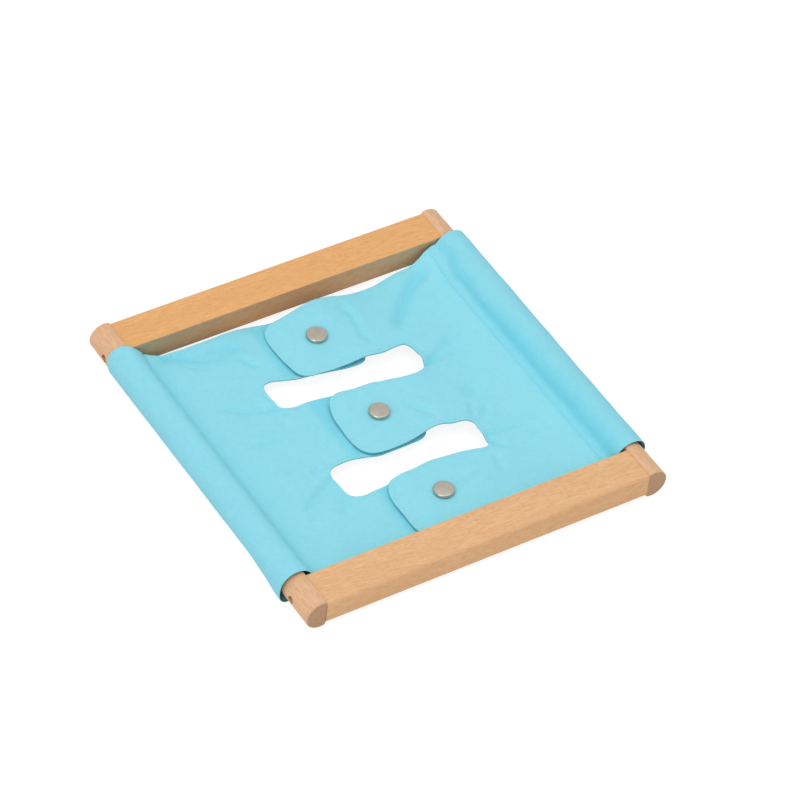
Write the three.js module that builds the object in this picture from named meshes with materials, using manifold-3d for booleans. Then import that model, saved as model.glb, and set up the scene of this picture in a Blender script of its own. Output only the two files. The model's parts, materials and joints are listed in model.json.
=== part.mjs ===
// A wooden dressing frame for children: two rails and two crossbars of beech hold two canvas flaps,
// which overlap in the middle and close with three press studs.
// Units are millimetres. X runs across the rails, Y along them from the front crossbar to the rear one,
// and Z is up. The origin is the centre of the frame on the surface that it lies on.

import * as THREE from 'three';
import { mergeVertices } from 'three/addons/utils/BufferGeometryUtils.js';
import Module from 'manifold-3d';

// Frame
const frameWidth = 300;
const railLength = 310;
const railRadius = 11.75;
const railFlatOffset = 4.25;
const railEdgeRound = 1.2;
const railEndBevel = 0.6;
const crossbarWidth = 30;
const crossbarThickness = 19;
const crossbarDrop = 0.8;
const crossbarOuterRadius = 3;
const crossbarInnerRadius = 1;

// Joints of the frame: one screw and one dowel pin at each corner
const screwFromEnd = 22;
const screwHeadDiameter = 5.6;
const screwHeadHeight = 2.2;
const screwHeadDepth = 3;
const screwShankDiameter = 3.2;
const screwLength = 30;
const screwTipLength = 4;
const screwTipDiameter = 0.6;
const screwClearance = 0.3;
const dowelFromEnd = 8.5;
const dowelDiameter = 6;
const dowelLength = 28;
const dowelInRail = 9;
const dowelChamfer = 0.8;
const dowelClearance = 0.25;

// Canvas: the sleeve round each rail, sewn to itself along a seam beside the rail
const sleeveCloth = 0.9;
const sleeveClearance = 0.35;
const sleeveEndGap = 1.5;
const seamOffset = 18;
const seamDrop = 1;
const seamWidth = 1.8;

// Canvas: the two flaps, with gaps between their hems and the crossbars
const flapCloth = 1;
const clothGap = 0.3;
const frontHemGap = 4;
const rearHemGap = 10;
const hemRise = 5;
const hemRun = 30;
const middleTabWidth = 67;
const middleTabShift = 2;
const windowHalfLength = 59.5;
const windowRootHeight = 30;
const windowWaistHeight = 23;
const windowCorner = 9;
const tongueReach = 25;
const tongueCorner = 10;
const tabReach = 35.5;
const tabCorner = 15;
const tabHinge = 28;

// Heights of the middle of the cloth above the surface that the frame lies on
const tongueLevel = 8.4;
const tongueRun = 62;
const tabTipDroop = 2.9;
const tabDroopStart = 14;
const flapDip = 2.4;

// Press studs
const frontSnapFromHem = 28;
const rearSnapFromHem = 32;
const snapSeatGap = 0.1;
const clothHoleRadius = 2.2;
const capRadius = 7.6;
const capRimRadius = 0.45;
const capRimStep = 0.35;
const capShoulder = 1.3;
const capCrown = 2.1;
const capPostRadius = 1.8;
const capPostBore = 1.25;
const socketRadius = 5.9;
const socketHeight = 3;
const socketWall = 0.5;
const socketMouthRadius = 3.45;
const socketBaseHole = 2.1;
const postFlareRadius = 2.5;
const postFlare = 0.35;
const springWireRadius = 0.33;
const springGapAngle = Math.PI / 5;
const studFlangeRadius = 5.6;
const studFlange = 0.5;
const studNeckRadius = 2.35;
const studHeadRadius = 2.6;
const studWall = 0.35;
const studTopGap = 0.25;
const socketGap = 0.1;
const backRadius = 5.4;
const backThickness = 0.6;
const backBarrelRadius = 1.75;
const backBarrelBore = 1.2;

// Facets
const railFacets = 28;
const sleeveFacets = 30;
const arrisFacets = 4;
const cornerFacets = 5;
const holeFacets = 12;
const capFacets = 20;
const snapFacets = 16;
const springSteps = 16;
const springFacets = 6;
const clothCellWidth = 8.8;
const overrun = 1;

// Colours
const railColour = 0xe1b795;
const crossbarColour = 0xe6b47c;
const canvasColour = 0x93dded;
const nickelColour = 0xb3a89c;
const steelColour = 0x8d8f92;
const pinColour = 0xdcb88c;

// Places that follow from the sizes above
const railAxisX = frameWidth / 2 - railRadius;
const railAxisZ = railRadius + sleeveClearance + sleeveCloth;
const railFlatX = railAxisX - railFlatOffset;
const railChordHalf = Math.sqrt(railRadius ** 2 - railFlatOffset ** 2);
const crossbarTop = railAxisZ + railChordHalf - crossbarDrop;
const crossbarZ = crossbarTop - crossbarThickness / 2;
const crossbarY = (railLength - crossbarWidth) / 2;
const sleeveLength = railLength - 2 * (crossbarWidth + sleeveEndGap);
const seamX = railAxisX - seamOffset;
const seamLevel = railAxisZ - seamDrop;
const flapStartX = seamX - clothGap;
const crossbarInnerY = railLength / 2 - crossbarWidth;
const rearHemY = crossbarInnerY - rearHemGap;
const frontHemY = frontHemGap - crossbarInnerY;
const middleTabY = (rearHemY + frontHemY) / 2 - middleTabShift;
const windowFromMiddle = (middleTabWidth + windowWaistHeight) / 2;
const rearWindowY = middleTabY + windowFromMiddle;
const frontWindowY = middleTabY - windowFromMiddle;
const snapPlaces = {
  rear: rearHemY - rearSnapFromHem,
  middle: middleTabY,
  front: frontHemY + frontSnapFromHem,
};
const snapStack = flapCloth + 2 * snapSeatGap + studFlange + socketGap + socketHeight;
const tabLevel = tongueLevel + snapStack;
const studHeight = socketHeight + socketGap - socketWall - snapSeatGap - postFlare - studTopGap;

const wasm = await Module();
wasm.setup();

// Solids and their cuts

function toSolid(geometry) {
  const bare = geometry.clone();
  bare.deleteAttribute('normal');
  bare.deleteAttribute('uv');
  const merged = mergeVertices(bare);
  const corners = merged.index.array;
  const triangles = [];
  for (let first = 0; first < corners.length; first += 3) {
    const [a, b, c] = corners.slice(first, first + 3);
    if (a !== b && b !== c && c !== a) triangles.push(a, b, c);
  }
  return new wasm.Manifold(new wasm.Mesh({
    numProp: 3,
    vertProperties: new Float32Array(merged.attributes.position.array),
    triVerts: new Uint32Array(triangles),
  }));
}

function toGeometry(solid) {
  const mesh = solid.getMesh();
  const geometry = new THREE.BufferGeometry();
  geometry.setAttribute('position', new THREE.BufferAttribute(mesh.vertProperties, 3));
  geometry.setIndex(new THREE.BufferAttribute(mesh.triVerts, 1));
  geometry.computeVertexNormals();
  return geometry;
}

function cut(geometry, tools) {
  let solid = toSolid(geometry);
  for (const tool of tools) solid = solid.subtract(toSolid(tool));
  return toGeometry(solid);
}

function lathe(profile, facets) {
  const points = profile.map(([radius, height]) => new THREE.Vector2(radius, height));
  return new THREE.LatheGeometry(points, facets);
}

// Turns an extrusion so that its outline lies in X and Z and its length runs along Y, about its middle
function alongY(geometry, length) {
  return geometry.rotateX(Math.PI / 2).translate(0, length / 2, 0);
}

// Turns an extrusion so that its outline lies in Y and Z and its length runs along X, about its middle
function alongX(geometry, length) {
  const turn = new THREE.Matrix4().makeBasis(
    new THREE.Vector3(0, 1, 0), new THREE.Vector3(0, 0, 1), new THREE.Vector3(1, 0, 0));
  return geometry.applyMatrix4(turn).translate(-length / 2, 0, 0);
}

// A hole along X from one place to another
function drill(radius, fromX, toX, y, z) {
  const length = Math.abs(toX - fromX);
  const geometry = new THREE.CylinderGeometry(radius, radius, length, holeFacets);
  return geometry.rotateZ(Math.PI / 2).translate((fromX + toX) / 2, y, z);
}

// A closed outline through corners [x, y, cut back], each rounded by what it is cut back
function roundedOutline(corners) {
  const shape = new THREE.Shape();
  const place = ([x, y]) => new THREE.Vector2(x, y);
  corners.forEach((corner, index) => {
    const at = place(corner);
    const before = place(corners[(index + corners.length - 1) % corners.length]);
    const after = place(corners[(index + 1) % corners.length]);
    const enter = at.clone().add(before.sub(at).setLength(corner[2]));
    const leave = at.clone().add(after.sub(at).setLength(corner[2]));
    if (index === 0) shape.moveTo(enter.x, enter.y);
    else shape.lineTo(enter.x, enter.y);
    if (corner[2] > 0) shape.quadraticCurveTo(at.x, at.y, leave.x, leave.y);
  });

  return shape;
}

// Rails

function railOutline(side) {
  const flat = side * -railFlatOffset;
  const turn = railEdgeRound / railRadius;
  const chordAngle = Math.acos(railFlatOffset / railRadius);
  const shape = new THREE.Shape();
  for (let step = 0; step <= railFacets; step += 1) {
    const span = 2 * (Math.PI - chordAngle - turn);
    const angle = -span / 2 + (span * step) / railFacets;
    const x = side * railRadius * Math.cos(angle);
    const z = railRadius * Math.sin(angle);
    if (step === 0) shape.moveTo(x, z);
    else shape.lineTo(x, z);
  }
  shape.quadraticCurveTo(flat, railChordHalf, flat, railChordHalf - railEdgeRound);
  shape.lineTo(flat, railEdgeRound - railChordHalf);
  const lowest = shape.getPoint(0);
  shape.quadraticCurveTo(flat, -railChordHalf, lowest.x, lowest.y);
  return shape;
}

function railHoles(side) {
  const tools = [];
  const outer = side * (railRadius + overrun);
  const shoulder = side * (railRadius - screwHeadDepth - screwHeadHeight);
  const inner = side * (-railFlatOffset - overrun);
  const dowelEnd = side * (dowelInRail - railFlatOffset + dowelClearance);
  for (const end of [-1, 1]) {
    const screwY = end * (railLength / 2 - screwFromEnd);
    const dowelY = end * (railLength / 2 - dowelFromEnd);
    tools.push(drill(screwHeadDiameter / 2 + screwClearance, shoulder, outer, screwY, 0));
    tools.push(drill(screwShankDiameter / 2 + screwClearance, inner, outer, screwY, 0));
    tools.push(drill(dowelDiameter / 2 + dowelClearance, inner, dowelEnd, dowelY, 0));
  }
  return tools;
}

function makeRail(side) {
  const options = {
    depth: railLength - 2 * railEndBevel,
    bevelThickness: railEndBevel,
    bevelSize: railEndBevel,
    bevelOffset: -railEndBevel,
    bevelSegments: 1,
    curveSegments: cornerFacets,
  };
  const bar = new THREE.ExtrudeGeometry(railOutline(side), options);
  bar.translate(0, 0, railEndBevel);
  return cut(alongY(bar, railLength), railHoles(side));
}

// Crossbars

function crossbarOutline(end) {
  const outer = (end * crossbarWidth) / 2;
  const inner = -outer;
  const top = crossbarThickness / 2;
  return roundedOutline([
    [outer, top, crossbarOuterRadius],
    [inner, top, crossbarInnerRadius],
    [inner, -top, crossbarInnerRadius],
    [outer, -top, crossbarInnerRadius],
  ]);
}

function crossbarHoles(end) {
  const tools = [];
  const axis = railAxisZ - crossbarZ;
  const screwReach = screwLength - (railRadius + railFlatOffset - screwHeadDepth - screwHeadHeight);
  const dowelReach = dowelLength - dowelInRail;
  for (const side of [-1, 1]) {
    const face = side * (railFlatX + overrun);
    const screwEnd = side * (railFlatX - screwReach - screwClearance);
    const dowelEnd = side * (railFlatX - dowelReach - dowelClearance);
    const screwY = end * (crossbarWidth / 2 - screwFromEnd);
    const dowelY = end * (crossbarWidth / 2 - dowelFromEnd);
    tools.push(drill(screwShankDiameter / 2 + screwClearance, screwEnd, face, screwY, axis));
    tools.push(drill(dowelDiameter / 2 + dowelClearance, dowelEnd, face, dowelY, axis));
  }
  return tools;
}

function makeCrossbar(end) {
  const length = 2 * railFlatX;
  const options = { depth: length, bevelEnabled: false, curveSegments: arrisFacets };
  const bar = new THREE.ExtrudeGeometry(crossbarOutline(end), options);
  return cut(alongX(bar, length), crossbarHoles(end));
}

// Screws and dowel pins, standing on their own axis

function makeScrew() {
  const head = screwHeadDiameter / 2;
  const shank = screwShankDiameter / 2;
  return lathe([
    [0, -screwLength],
    [screwTipDiameter / 2, -screwLength],
    [shank, screwTipLength - screwLength],
    [shank, 0],
    [head, 0],
    [head, screwHeadHeight / 2],
    [head / 2, screwHeadHeight],
    [0, screwHeadHeight],
  ], holeFacets);
}

function makeDowel() {
  const radius = dowelDiameter / 2;
  const half = dowelLength / 2;
  return lathe([
    [0, -half],
    [radius - dowelChamfer, -half],
    [radius, dowelChamfer - half],
    [radius, half - dowelChamfer],
    [radius - dowelChamfer, half],
    [0, half],
  ], holeFacets);
}

// Canvas sleeve: a closed loop of cloth round the rail, drawn to a point where its two layers are sewn

function tangentAngle(point, radius, turn) {
  const distance = Math.hypot(point.x, point.y);
  return Math.atan2(point.y, point.x) + turn * Math.acos(radius / distance);
}

function sleeveLoop(radius, upper, lower) {
  const start = tangentAngle(upper, radius, -1);
  const end = tangentAngle(lower, radius, 1);
  const span = ((end - start) % (2 * Math.PI)) - 2 * Math.PI;
  const points = [upper];
  for (let step = 0; step <= sleeveFacets; step += 1) {
    const angle = start + (span * step) / sleeveFacets;
    points.push(new THREE.Vector2(radius * Math.cos(angle), radius * Math.sin(angle)));
  }
  if (lower !== upper) points.push(lower);
  return points;
}

function makeSleeve(side) {
  const inside = railRadius + sleeveClearance;
  const outside = inside + sleeveCloth;
  const seamTop = new THREE.Vector2(-seamOffset, sleeveCloth - seamDrop);
  const seamBottom = new THREE.Vector2(-seamOffset, -sleeveCloth - seamDrop);
  const stitch = new THREE.Vector2(seamWidth - seamOffset, -seamDrop);
  const mirror = (points) => points.map((point) => new THREE.Vector2(side * point.x, point.y));
  const shape = new THREE.Shape(mirror(sleeveLoop(outside, seamTop, seamBottom)));
  shape.holes.push(new THREE.Path(mirror(sleeveLoop(inside, stitch, stitch)).reverse()));
  const options = { depth: sleeveLength, bevelEnabled: false };
  return alongY(new THREE.ExtrudeGeometry(shape, options), sleeveLength);
}

// Canvas flaps: a sheet with the height and folds of the hanging cloth, cut to the flap's outline

// How the folds run, as shares of the flap: places across it from the seam to the middle and along it from
// the front hem to the rear one, the width as a share of its length and the height as a share of foldRise
const foldRise = 1.6;
const leftFoldShares = [
  { from: [0.03, 0.97], to: [0.52, 0.74], width: 0.035, height: 1 },
  { from: [0.04, 0.6], to: [0.5, 0.66], width: 0.04, height: -0.8 },
  { from: [0.06, 0.42], to: [0.48, 0.36], width: 0.045, height: 0.7 },
  { from: [0.03, 0.1], to: [0.5, 0.26], width: 0.04, height: 0.8 },
  { from: [0.1, 0.86], to: [0.5, 0.9], width: 0.03, height: -0.7 },
];
const rightFoldShares = [
  { from: [0.02, 0.96], to: [0.5, 0.72], width: 0.04, height: 1.2 },
  { from: [0.05, 0.8], to: [0.55, 0.93], width: 0.035, height: -1 },
  { from: [0.05, 0.52], to: [0.48, 0.64], width: 0.04, height: -0.7 },
  { from: [0.06, 0.38], to: [0.5, 0.34], width: 0.035, height: 0.8 },
  { from: [0.04, 0.12], to: [0.5, 0.24], width: 0.04, height: 0.9 },
];
const foldEndShare = 0.12;

function smooth(value) {
  const t = THREE.MathUtils.clamp(value, 0, 1);
  return t * t * (3 - 2 * t);
}

function foldHeight(shares, across, along) {
  let height = 0;
  for (const fold of shares) {
    const dx = fold.to[0] - fold.from[0];
    const dy = fold.to[1] - fold.from[1];
    const t = ((across - fold.from[0]) * dx + (along - fold.from[1]) * dy) / (dx * dx + dy * dy);
    const away = ((across - fold.from[0]) * dy - (along - fold.from[1]) * dx) / Math.hypot(dx, dy);
    const ends = smooth(t / foldEndShare) * smooth((1 - t) / foldEndShare);
    height += foldRise * fold.height * ends * Math.exp(-((away / fold.width) ** 2));
  }
  return height;
}

function alongShare(y) {
  return (y - frontHemY) / (rearHemY - frontHemY);
}

function leftHeight(x, y) {
  const across = (x + flapStartX) / flapStartX;
  const drop = smooth((x + flapStartX) / tongueRun);
  return seamLevel + (tongueLevel - seamLevel) * drop + foldHeight(leftFoldShares, across, alongShare(y));
}

function rightHeight(x, y) {
  const across = (flapStartX - x) / flapStartX;
  const run = (flapStartX - x) / (flapStartX - tabHinge);
  const dip = flapDip * Math.sin(Math.PI * THREE.MathUtils.clamp(run, 0, 1)) ** 2;
  const folds = foldHeight(rightFoldShares, across, alongShare(y));
  return seamLevel + (tabLevel - seamLevel) * smooth(run) - dip + folds;
}

function tabHeight(x) {
  return tabLevel - tabTipDroop * smooth((-tabDroopStart - x) / (tabReach - tabDroopStart));
}

// A closed sheet over a rectangle, with its middle at the given height
function makeSheet(lowX, highX, lowY, highY, height) {
  const countX = Math.ceil((highX - lowX) / clothCellWidth);
  const countY = Math.ceil((highY - lowY) / clothCellWidth);
  const positions = [];
  const indices = [];
  const layer = (countX + 1) * (countY + 1);
  const at = (level, i, j) => level * layer + j * (countX + 1) + i;
  for (const offset of [-flapCloth / 2, flapCloth / 2]) {
    for (let j = 0; j <= countY; j += 1) {
      for (let i = 0; i <= countX; i += 1) {
        const x = THREE.MathUtils.lerp(lowX, highX, i / countX);
        const y = THREE.MathUtils.lerp(lowY, highY, j / countY);
        positions.push(x, y, height(x, y) + offset);
      }
    }
  }
  const quad = (a, b, c, d) => indices.push(a, b, c, a, c, d);
  for (let j = 0; j < countY; j += 1) {
    for (let i = 0; i < countX; i += 1) {
      quad(at(1, i, j), at(1, i + 1, j), at(1, i + 1, j + 1), at(1, i, j + 1));
      quad(at(0, i, j), at(0, i, j + 1), at(0, i + 1, j + 1), at(0, i + 1, j));
    }
  }
  for (let i = 0; i < countX; i += 1) {
    quad(at(0, i, 0), at(0, i + 1, 0), at(1, i + 1, 0), at(1, i, 0));
    quad(at(0, i + 1, countY), at(0, i, countY), at(1, i, countY), at(1, i + 1, countY));
  }
  for (let j = 0; j < countY; j += 1) {
    quad(at(0, 0, j + 1), at(0, 0, j), at(1, 0, j), at(1, 0, j + 1));
    quad(at(0, countX, j), at(0, countX, j + 1), at(1, countX, j + 1), at(1, countX, j));
  }
  const sheet = new THREE.BufferGeometry();
  sheet.setAttribute('position', new THREE.BufferAttribute(new Float32Array(positions), 3));
  sheet.setIndex(indices);
  return sheet;
}

// Half the height of a window at a place across it, from its end to the tip of the tongue beside it
function windowHalf(x, rootX, tipX) {
  const share = (x - tipX) / (rootX - tipX);
  return THREE.MathUtils.lerp(windowWaistHeight, windowRootHeight, share) / 2;
}

// The flap's outline from the seam to its edge in the middle, with a notch for each window
function flapOutline(side, edgeX, tipX, corner) {
  const seam = side * flapStartX;
  const root = side * windowHalfLength;
  const half = windowHalf(edgeX, root, tipX);
  const corners = [
    [seam, rearHemY + hemRise, 0],
    [seam - side * hemRun, rearHemY, hemRun / 2],
    [edgeX, rearHemY, corner],
  ];
  for (const windowY of [rearWindowY, frontWindowY]) {
    corners.push([edgeX, windowY + half, corner]);
    corners.push([root, windowY + windowRootHeight / 2, windowCorner]);
    corners.push([root, windowY - windowRootHeight / 2, windowCorner]);
    corners.push([edgeX, windowY - half, corner]);
  }
  corners.push([edgeX, frontHemY, corner]);
  corners.push([seam - side * hemRun, frontHemY, hemRun / 2]);
  corners.push([seam, frontHemY - hemRise / 2, 0]);
  return roundedOutline(corners);
}

function tabOutline(name) {
  const root = windowHalf(tabHinge, windowHalfLength, -tabReach);
  const tip = windowHalf(-tabReach, windowHalfLength, -tabReach);
  const edges = {
    rear: [rearHemY, rearHemY, rearWindowY + root, rearWindowY + tip],
    middle: [rearWindowY - root, rearWindowY - tip, frontWindowY + root, frontWindowY + tip],
    front: [frontWindowY - root, frontWindowY - tip, frontHemY, frontHemY],
  };
  const [rearRoot, rearTip, frontRoot, frontTip] = edges[name];
  const hinge = tabHinge - clothGap;
  return roundedOutline([
    [hinge, rearRoot, 0],
    [-tabReach, rearTip, tabCorner],
    [-tabReach, frontTip, tabCorner],
    [hinge, frontRoot, 0],
  ]);
}

function postHole(y, length) {
  const geometry = new THREE.CylinderGeometry(clothHoleRadius, clothHoleRadius, length, holeFacets);
  return geometry.rotateX(Math.PI / 2).translate(0, y, 0);
}

function cutCloth(shape, lowX, highX, height, holePlaces) {
  const lowY = frontHemY - hemRise - overrun;
  const highY = rearHemY + hemRise + overrun;
  const outline = new THREE.Box2().setFromPoints(shape.getPoints(cornerFacets));
  const sheet = makeSheet(lowX - overrun, highX + overrun,
    Math.max(lowY, outline.min.y - overrun), Math.min(highY, outline.max.y + overrun), height);
  const depth = 2 * (railAxisZ + railRadius);
  const options = { depth, bevelEnabled: false, curveSegments: cornerFacets };
  const prism = new THREE.ExtrudeGeometry(shape, options).translate(0, 0, -depth / 2);
  const cloth = toGeometry(toSolid(sheet).intersect(toSolid(prism)));
  return cut(cloth, holePlaces.map((y) => postHole(y, depth)));
}

function makeLeftFlap() {
  const shape = flapOutline(-1, tongueReach, tongueReach, tongueCorner);
  return cutCloth(shape, -flapStartX, tongueReach, leftHeight, Object.values(snapPlaces));
}

function makeRightFlap() {
  const shape = flapOutline(1, tabHinge, -tabReach, 0);
  return cutCloth(shape, tabHinge, flapStartX, rightHeight, []);
}

function makeTab(name) {
  return cutCloth(tabOutline(name), -tabReach, tabHinge, tabHeight, [snapPlaces[name]]);
}

// Press studs, each about its own axis, with height zero at the middle of the cloth that it is fixed to

function makeCap() {
  const seat = flapCloth / 2 + snapSeatGap;
  const domeRadius = capRadius - capRimStep;
  const postEnd = -flapCloth / 2 - snapSeatGap - socketWall - snapSeatGap;
  const flareEnd = postEnd - postFlare;
  return lathe([
    [0, postEnd + flapCloth],
    [capPostBore, postEnd + flapCloth],
    [capPostBore, flareEnd],
    [postFlareRadius, flareEnd],
    [postFlareRadius, postEnd],
    [capPostRadius, postEnd],
    [capPostRadius, seat],
    [capRadius - capRimRadius, seat],
    [capRadius, seat + capRimRadius],
    [domeRadius, seat + 2 * capRimRadius],
    [domeRadius - capRimRadius, seat + capShoulder],
    [domeRadius * Math.SQRT1_2, seat + (capShoulder + capCrown) / 2 + capRimRadius / 2],
    [0, seat + capCrown],
  ], capFacets);
}

function makeSocket() {
  const top = -flapCloth / 2 - snapSeatGap;
  const bottom = top - socketHeight;
  return lathe([
    [socketBaseHole, top],
    [socketBaseHole, top - socketWall],
    [socketRadius - socketWall, top - socketWall],
    [socketRadius - socketWall, bottom + socketWall],
    [socketMouthRadius, bottom + socketWall],
    [socketMouthRadius, bottom],
    [socketRadius - socketWall, bottom],
    [socketRadius, bottom + socketWall],
    [socketRadius, top],
    [socketBaseHole, top],
  ], snapFacets);
}

// An open ring of wire in the socket, which grips the stud's neck
function makeSpring() {
  const top = -flapCloth / 2 - snapSeatGap;
  const height = top - socketHeight + socketWall + springWireRadius + snapSeatGap;
  const ringRadius = socketMouthRadius + 2 * springWireRadius;
  const span = 2 * Math.PI - springGapAngle;
  const points = [];
  for (let step = 0; step <= springSteps; step += 1) {
    const angle = springGapAngle / 2 + (span * step) / springSteps;
    points.push(new THREE.Vector3(ringRadius * Math.cos(angle), ringRadius * Math.sin(angle), height));
  }
  const section = new THREE.Shape();
  section.absarc(0, 0, springWireRadius, 0, 2 * Math.PI, false);
  const options = {
    extrudePath: new THREE.CatmullRomCurve3(points),
    steps: springSteps,
    curveSegments: springFacets / 2,
  };
  return new THREE.ExtrudeGeometry(section, options);
}

function makeStud() {
  const seat = flapCloth / 2 + snapSeatGap;
  const top = seat + studFlange + studHeight;
  const bore = studNeckRadius - studWall;
  return lathe([
    [0, top - studWall],
    [bore, top - studWall],
    [bore, seat],
    [studFlangeRadius, seat],
    [studFlangeRadius, seat + studFlange],
    [studNeckRadius, seat + studFlange],
    [studHeadRadius, top - studHeight / 2],
    [studHeadRadius - studWall, top - studWall],
    [studHeadRadius / 2, top],
    [0, top],
  ], snapFacets);
}

function makeStudBack() {
  const seat = -flapCloth / 2 - snapSeatGap;
  const barrelTop = flapCloth / 2 + snapSeatGap + studFlange + studHeight / 2;
  return lathe([
    [backBarrelBore, seat - backThickness],
    [backRadius - backThickness / 2, seat - backThickness],
    [backRadius, seat - backThickness / 2],
    [backRadius, seat],
    [backBarrelRadius, seat],
    [backBarrelRadius, barrelTop],
    [backBarrelBore, barrelTop],
    [backBarrelBore, seat - backThickness],
  ], snapFacets);
}

// Finishes

const rail = { color: railColour, roughness: 0.55, metalness: 0 };
const crossbar = { color: crossbarColour, roughness: 0.5, metalness: 0 };
const canvas = { color: canvasColour, roughness: 0.9, metalness: 0 };
const nickel = { color: nickelColour, roughness: 0.35, metalness: 1 };
const steel = { color: steelColour, roughness: 0.4, metalness: 1 };
const pinWood = { color: pinColour, roughness: 0.6, metalness: 0 };

function place(group, name, geometry, finish, position = [0, 0, 0]) {
  const mesh = new THREE.Mesh(geometry, new THREE.MeshStandardMaterial(finish));
  mesh.name = name;
  mesh.position.set(...position);
  group.add(mesh);
  return mesh;
}

// Assembly

const sides = { left: -1, right: 1 };
const ends = { front: -1, rear: 1 };
const dressingFrame = new THREE.Group();
const woodwork = new THREE.Group();
const leftFlap = new THREE.Group();
const rightFlap = new THREE.Group();
dressingFrame.add(woodwork, leftFlap, rightFlap);

for (const [sideName, side] of Object.entries(sides)) {
  place(woodwork, `${sideName}_rail`, makeRail(side), rail, [side * railAxisX, 0, railAxisZ]);
}
for (const [endName, end] of Object.entries(ends)) {
  place(woodwork, `${endName}_crossbar`, makeCrossbar(end), crossbar, [0, end * crossbarY, crossbarZ]);
}
for (const [endName, end] of Object.entries(ends)) {
  for (const [sideName, side] of Object.entries(sides)) {
    const seatX = railAxisX + railRadius - screwHeadDepth - screwHeadHeight + snapSeatGap;
    const screwY = end * (railLength / 2 - screwFromEnd);
    const screw = place(woodwork, `${endName}_${sideName}_screw`, makeScrew(), steel,
      [side * seatX, screwY, railAxisZ]);
    screw.rotation.z = (-side * Math.PI) / 2;
    const dowelX = railFlatX + dowelInRail - dowelLength / 2;
    const dowelY = end * (railLength / 2 - dowelFromEnd);
    const dowel = place(woodwork, `${endName}_${sideName}_dowel`, makeDowel(), pinWood,
      [side * dowelX, dowelY, railAxisZ]);
    dowel.rotation.z = Math.PI / 2;
  }
}

place(leftFlap, 'left_sleeve', makeSleeve(-1), canvas, [-railAxisX, 0, railAxisZ]);
place(leftFlap, 'left_panel', makeLeftFlap(), canvas);
place(rightFlap, 'right_sleeve', makeSleeve(1), canvas, [railAxisX, 0, railAxisZ]);
place(rightFlap, 'right_panel', makeRightFlap(), canvas);

for (const [name, y] of Object.entries(snapPlaces)) {
  const tab = new THREE.Group();
  rightFlap.add(tab);
  place(tab, `${name}_tab`, makeTab(name), canvas);
  const tabPlace = [0, y, tabLevel];
  const tonguePlace = [0, y, tongueLevel];
  place(tab, `${name}_snap_spring`, makeSpring(), steel, tabPlace);
  const turned = [
    place(tab, `${name}_snap_cap`, makeCap(), nickel, tabPlace),
    place(tab, `${name}_snap_socket`, makeSocket(), nickel, tabPlace),
    place(leftFlap, `${name}_snap_stud`, makeStud(), nickel, tonguePlace),
    place(leftFlap, `${name}_snap_back`, makeStudBack(), nickel, tonguePlace),
  ];
  for (const piece of turned) piece.rotation.x = Math.PI / 2;
}

export default dressingFrame;
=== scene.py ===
import json
import math

import bpy
import numpy as np
from mathutils import Matrix, Vector
from mathutils.geometry import delaunay_2d_cdt
from mathutils.kdtree import KDTree


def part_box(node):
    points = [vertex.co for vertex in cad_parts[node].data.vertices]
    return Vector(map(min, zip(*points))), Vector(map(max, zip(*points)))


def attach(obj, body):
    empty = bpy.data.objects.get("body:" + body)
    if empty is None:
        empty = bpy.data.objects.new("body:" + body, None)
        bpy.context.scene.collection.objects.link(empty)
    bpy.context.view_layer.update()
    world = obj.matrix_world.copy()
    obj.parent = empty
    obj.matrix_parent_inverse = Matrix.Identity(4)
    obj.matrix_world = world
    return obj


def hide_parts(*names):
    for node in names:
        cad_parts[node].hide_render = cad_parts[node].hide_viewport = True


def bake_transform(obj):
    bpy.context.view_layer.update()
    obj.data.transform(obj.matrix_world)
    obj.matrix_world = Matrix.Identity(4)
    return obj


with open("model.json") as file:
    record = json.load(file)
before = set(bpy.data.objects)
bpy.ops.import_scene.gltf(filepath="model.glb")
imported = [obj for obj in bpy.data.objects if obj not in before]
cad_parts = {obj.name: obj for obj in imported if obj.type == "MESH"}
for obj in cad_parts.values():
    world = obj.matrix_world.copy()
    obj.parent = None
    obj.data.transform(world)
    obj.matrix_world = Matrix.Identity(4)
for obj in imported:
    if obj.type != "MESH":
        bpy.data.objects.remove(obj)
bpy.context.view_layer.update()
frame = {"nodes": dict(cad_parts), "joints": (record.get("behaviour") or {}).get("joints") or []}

bl_info = {
    "name": "Dressing frame with press studs",
    "version": (1, 0, 0),
    "blender": (4, 5, 0),
    "location": "3D View > Sidebar > Dressing frame",
    "description": "Builds a beech dressing frame with two canvas flaps that close with press studs",
    "category": "Object",
}

MM = 0.001


# Sizes that come from the frame, in millimetres


def low(node, axis):
    """Lowest coordinate of a frame node on one axis."""
    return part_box(node)[0][axis] / MM


def high(node, axis):
    """Highest coordinate of a frame node on one axis."""
    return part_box(node)[1][axis] / MM


JOINTS = {joint["name"]: joint for joint in frame["joints"]}
RAIL_X = JOINTS["right_flap_open"]["pos_m"][0] / MM
RAIL_Z = JOINTS["right_flap_open"]["pos_m"][2] / MM
SEAM_X = low("right_sleeve", 0)
SLEEVE_END = high("right_sleeve", 1)
STUD_PLACES = {
    name: (low(f"{name}_snap_cap", 1) + high(f"{name}_snap_cap", 1)) / 2
    for name in ("rear", "middle", "front")
}

# Heights of the canvas at the press studs, in the left flap's tongues and in the right flap's tabs
TONGUE_Z = 8.4
TAB_Z = 13.2

# Where the tabs are cut from the right flap, in from its seam
CUT_X = 34.0

# The seam beside each rail, in plan and up, by side: the left one is pulled nearer to its rail
SEAMS = {-1: (124.4, 10.9), 1: (SEAM_X, 12.0)}


def srgb(red, green, blue):
    """Linear colour of a screen colour given as 0 to 255."""
    linear = []
    for value in (red, green, blue):
        share = value / 255
        linear.append(share / 12.92 if share <= 0.04045 else ((share + 0.055) / 1.055) ** 2.4)
    return tuple(linear)


# Settings


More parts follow.
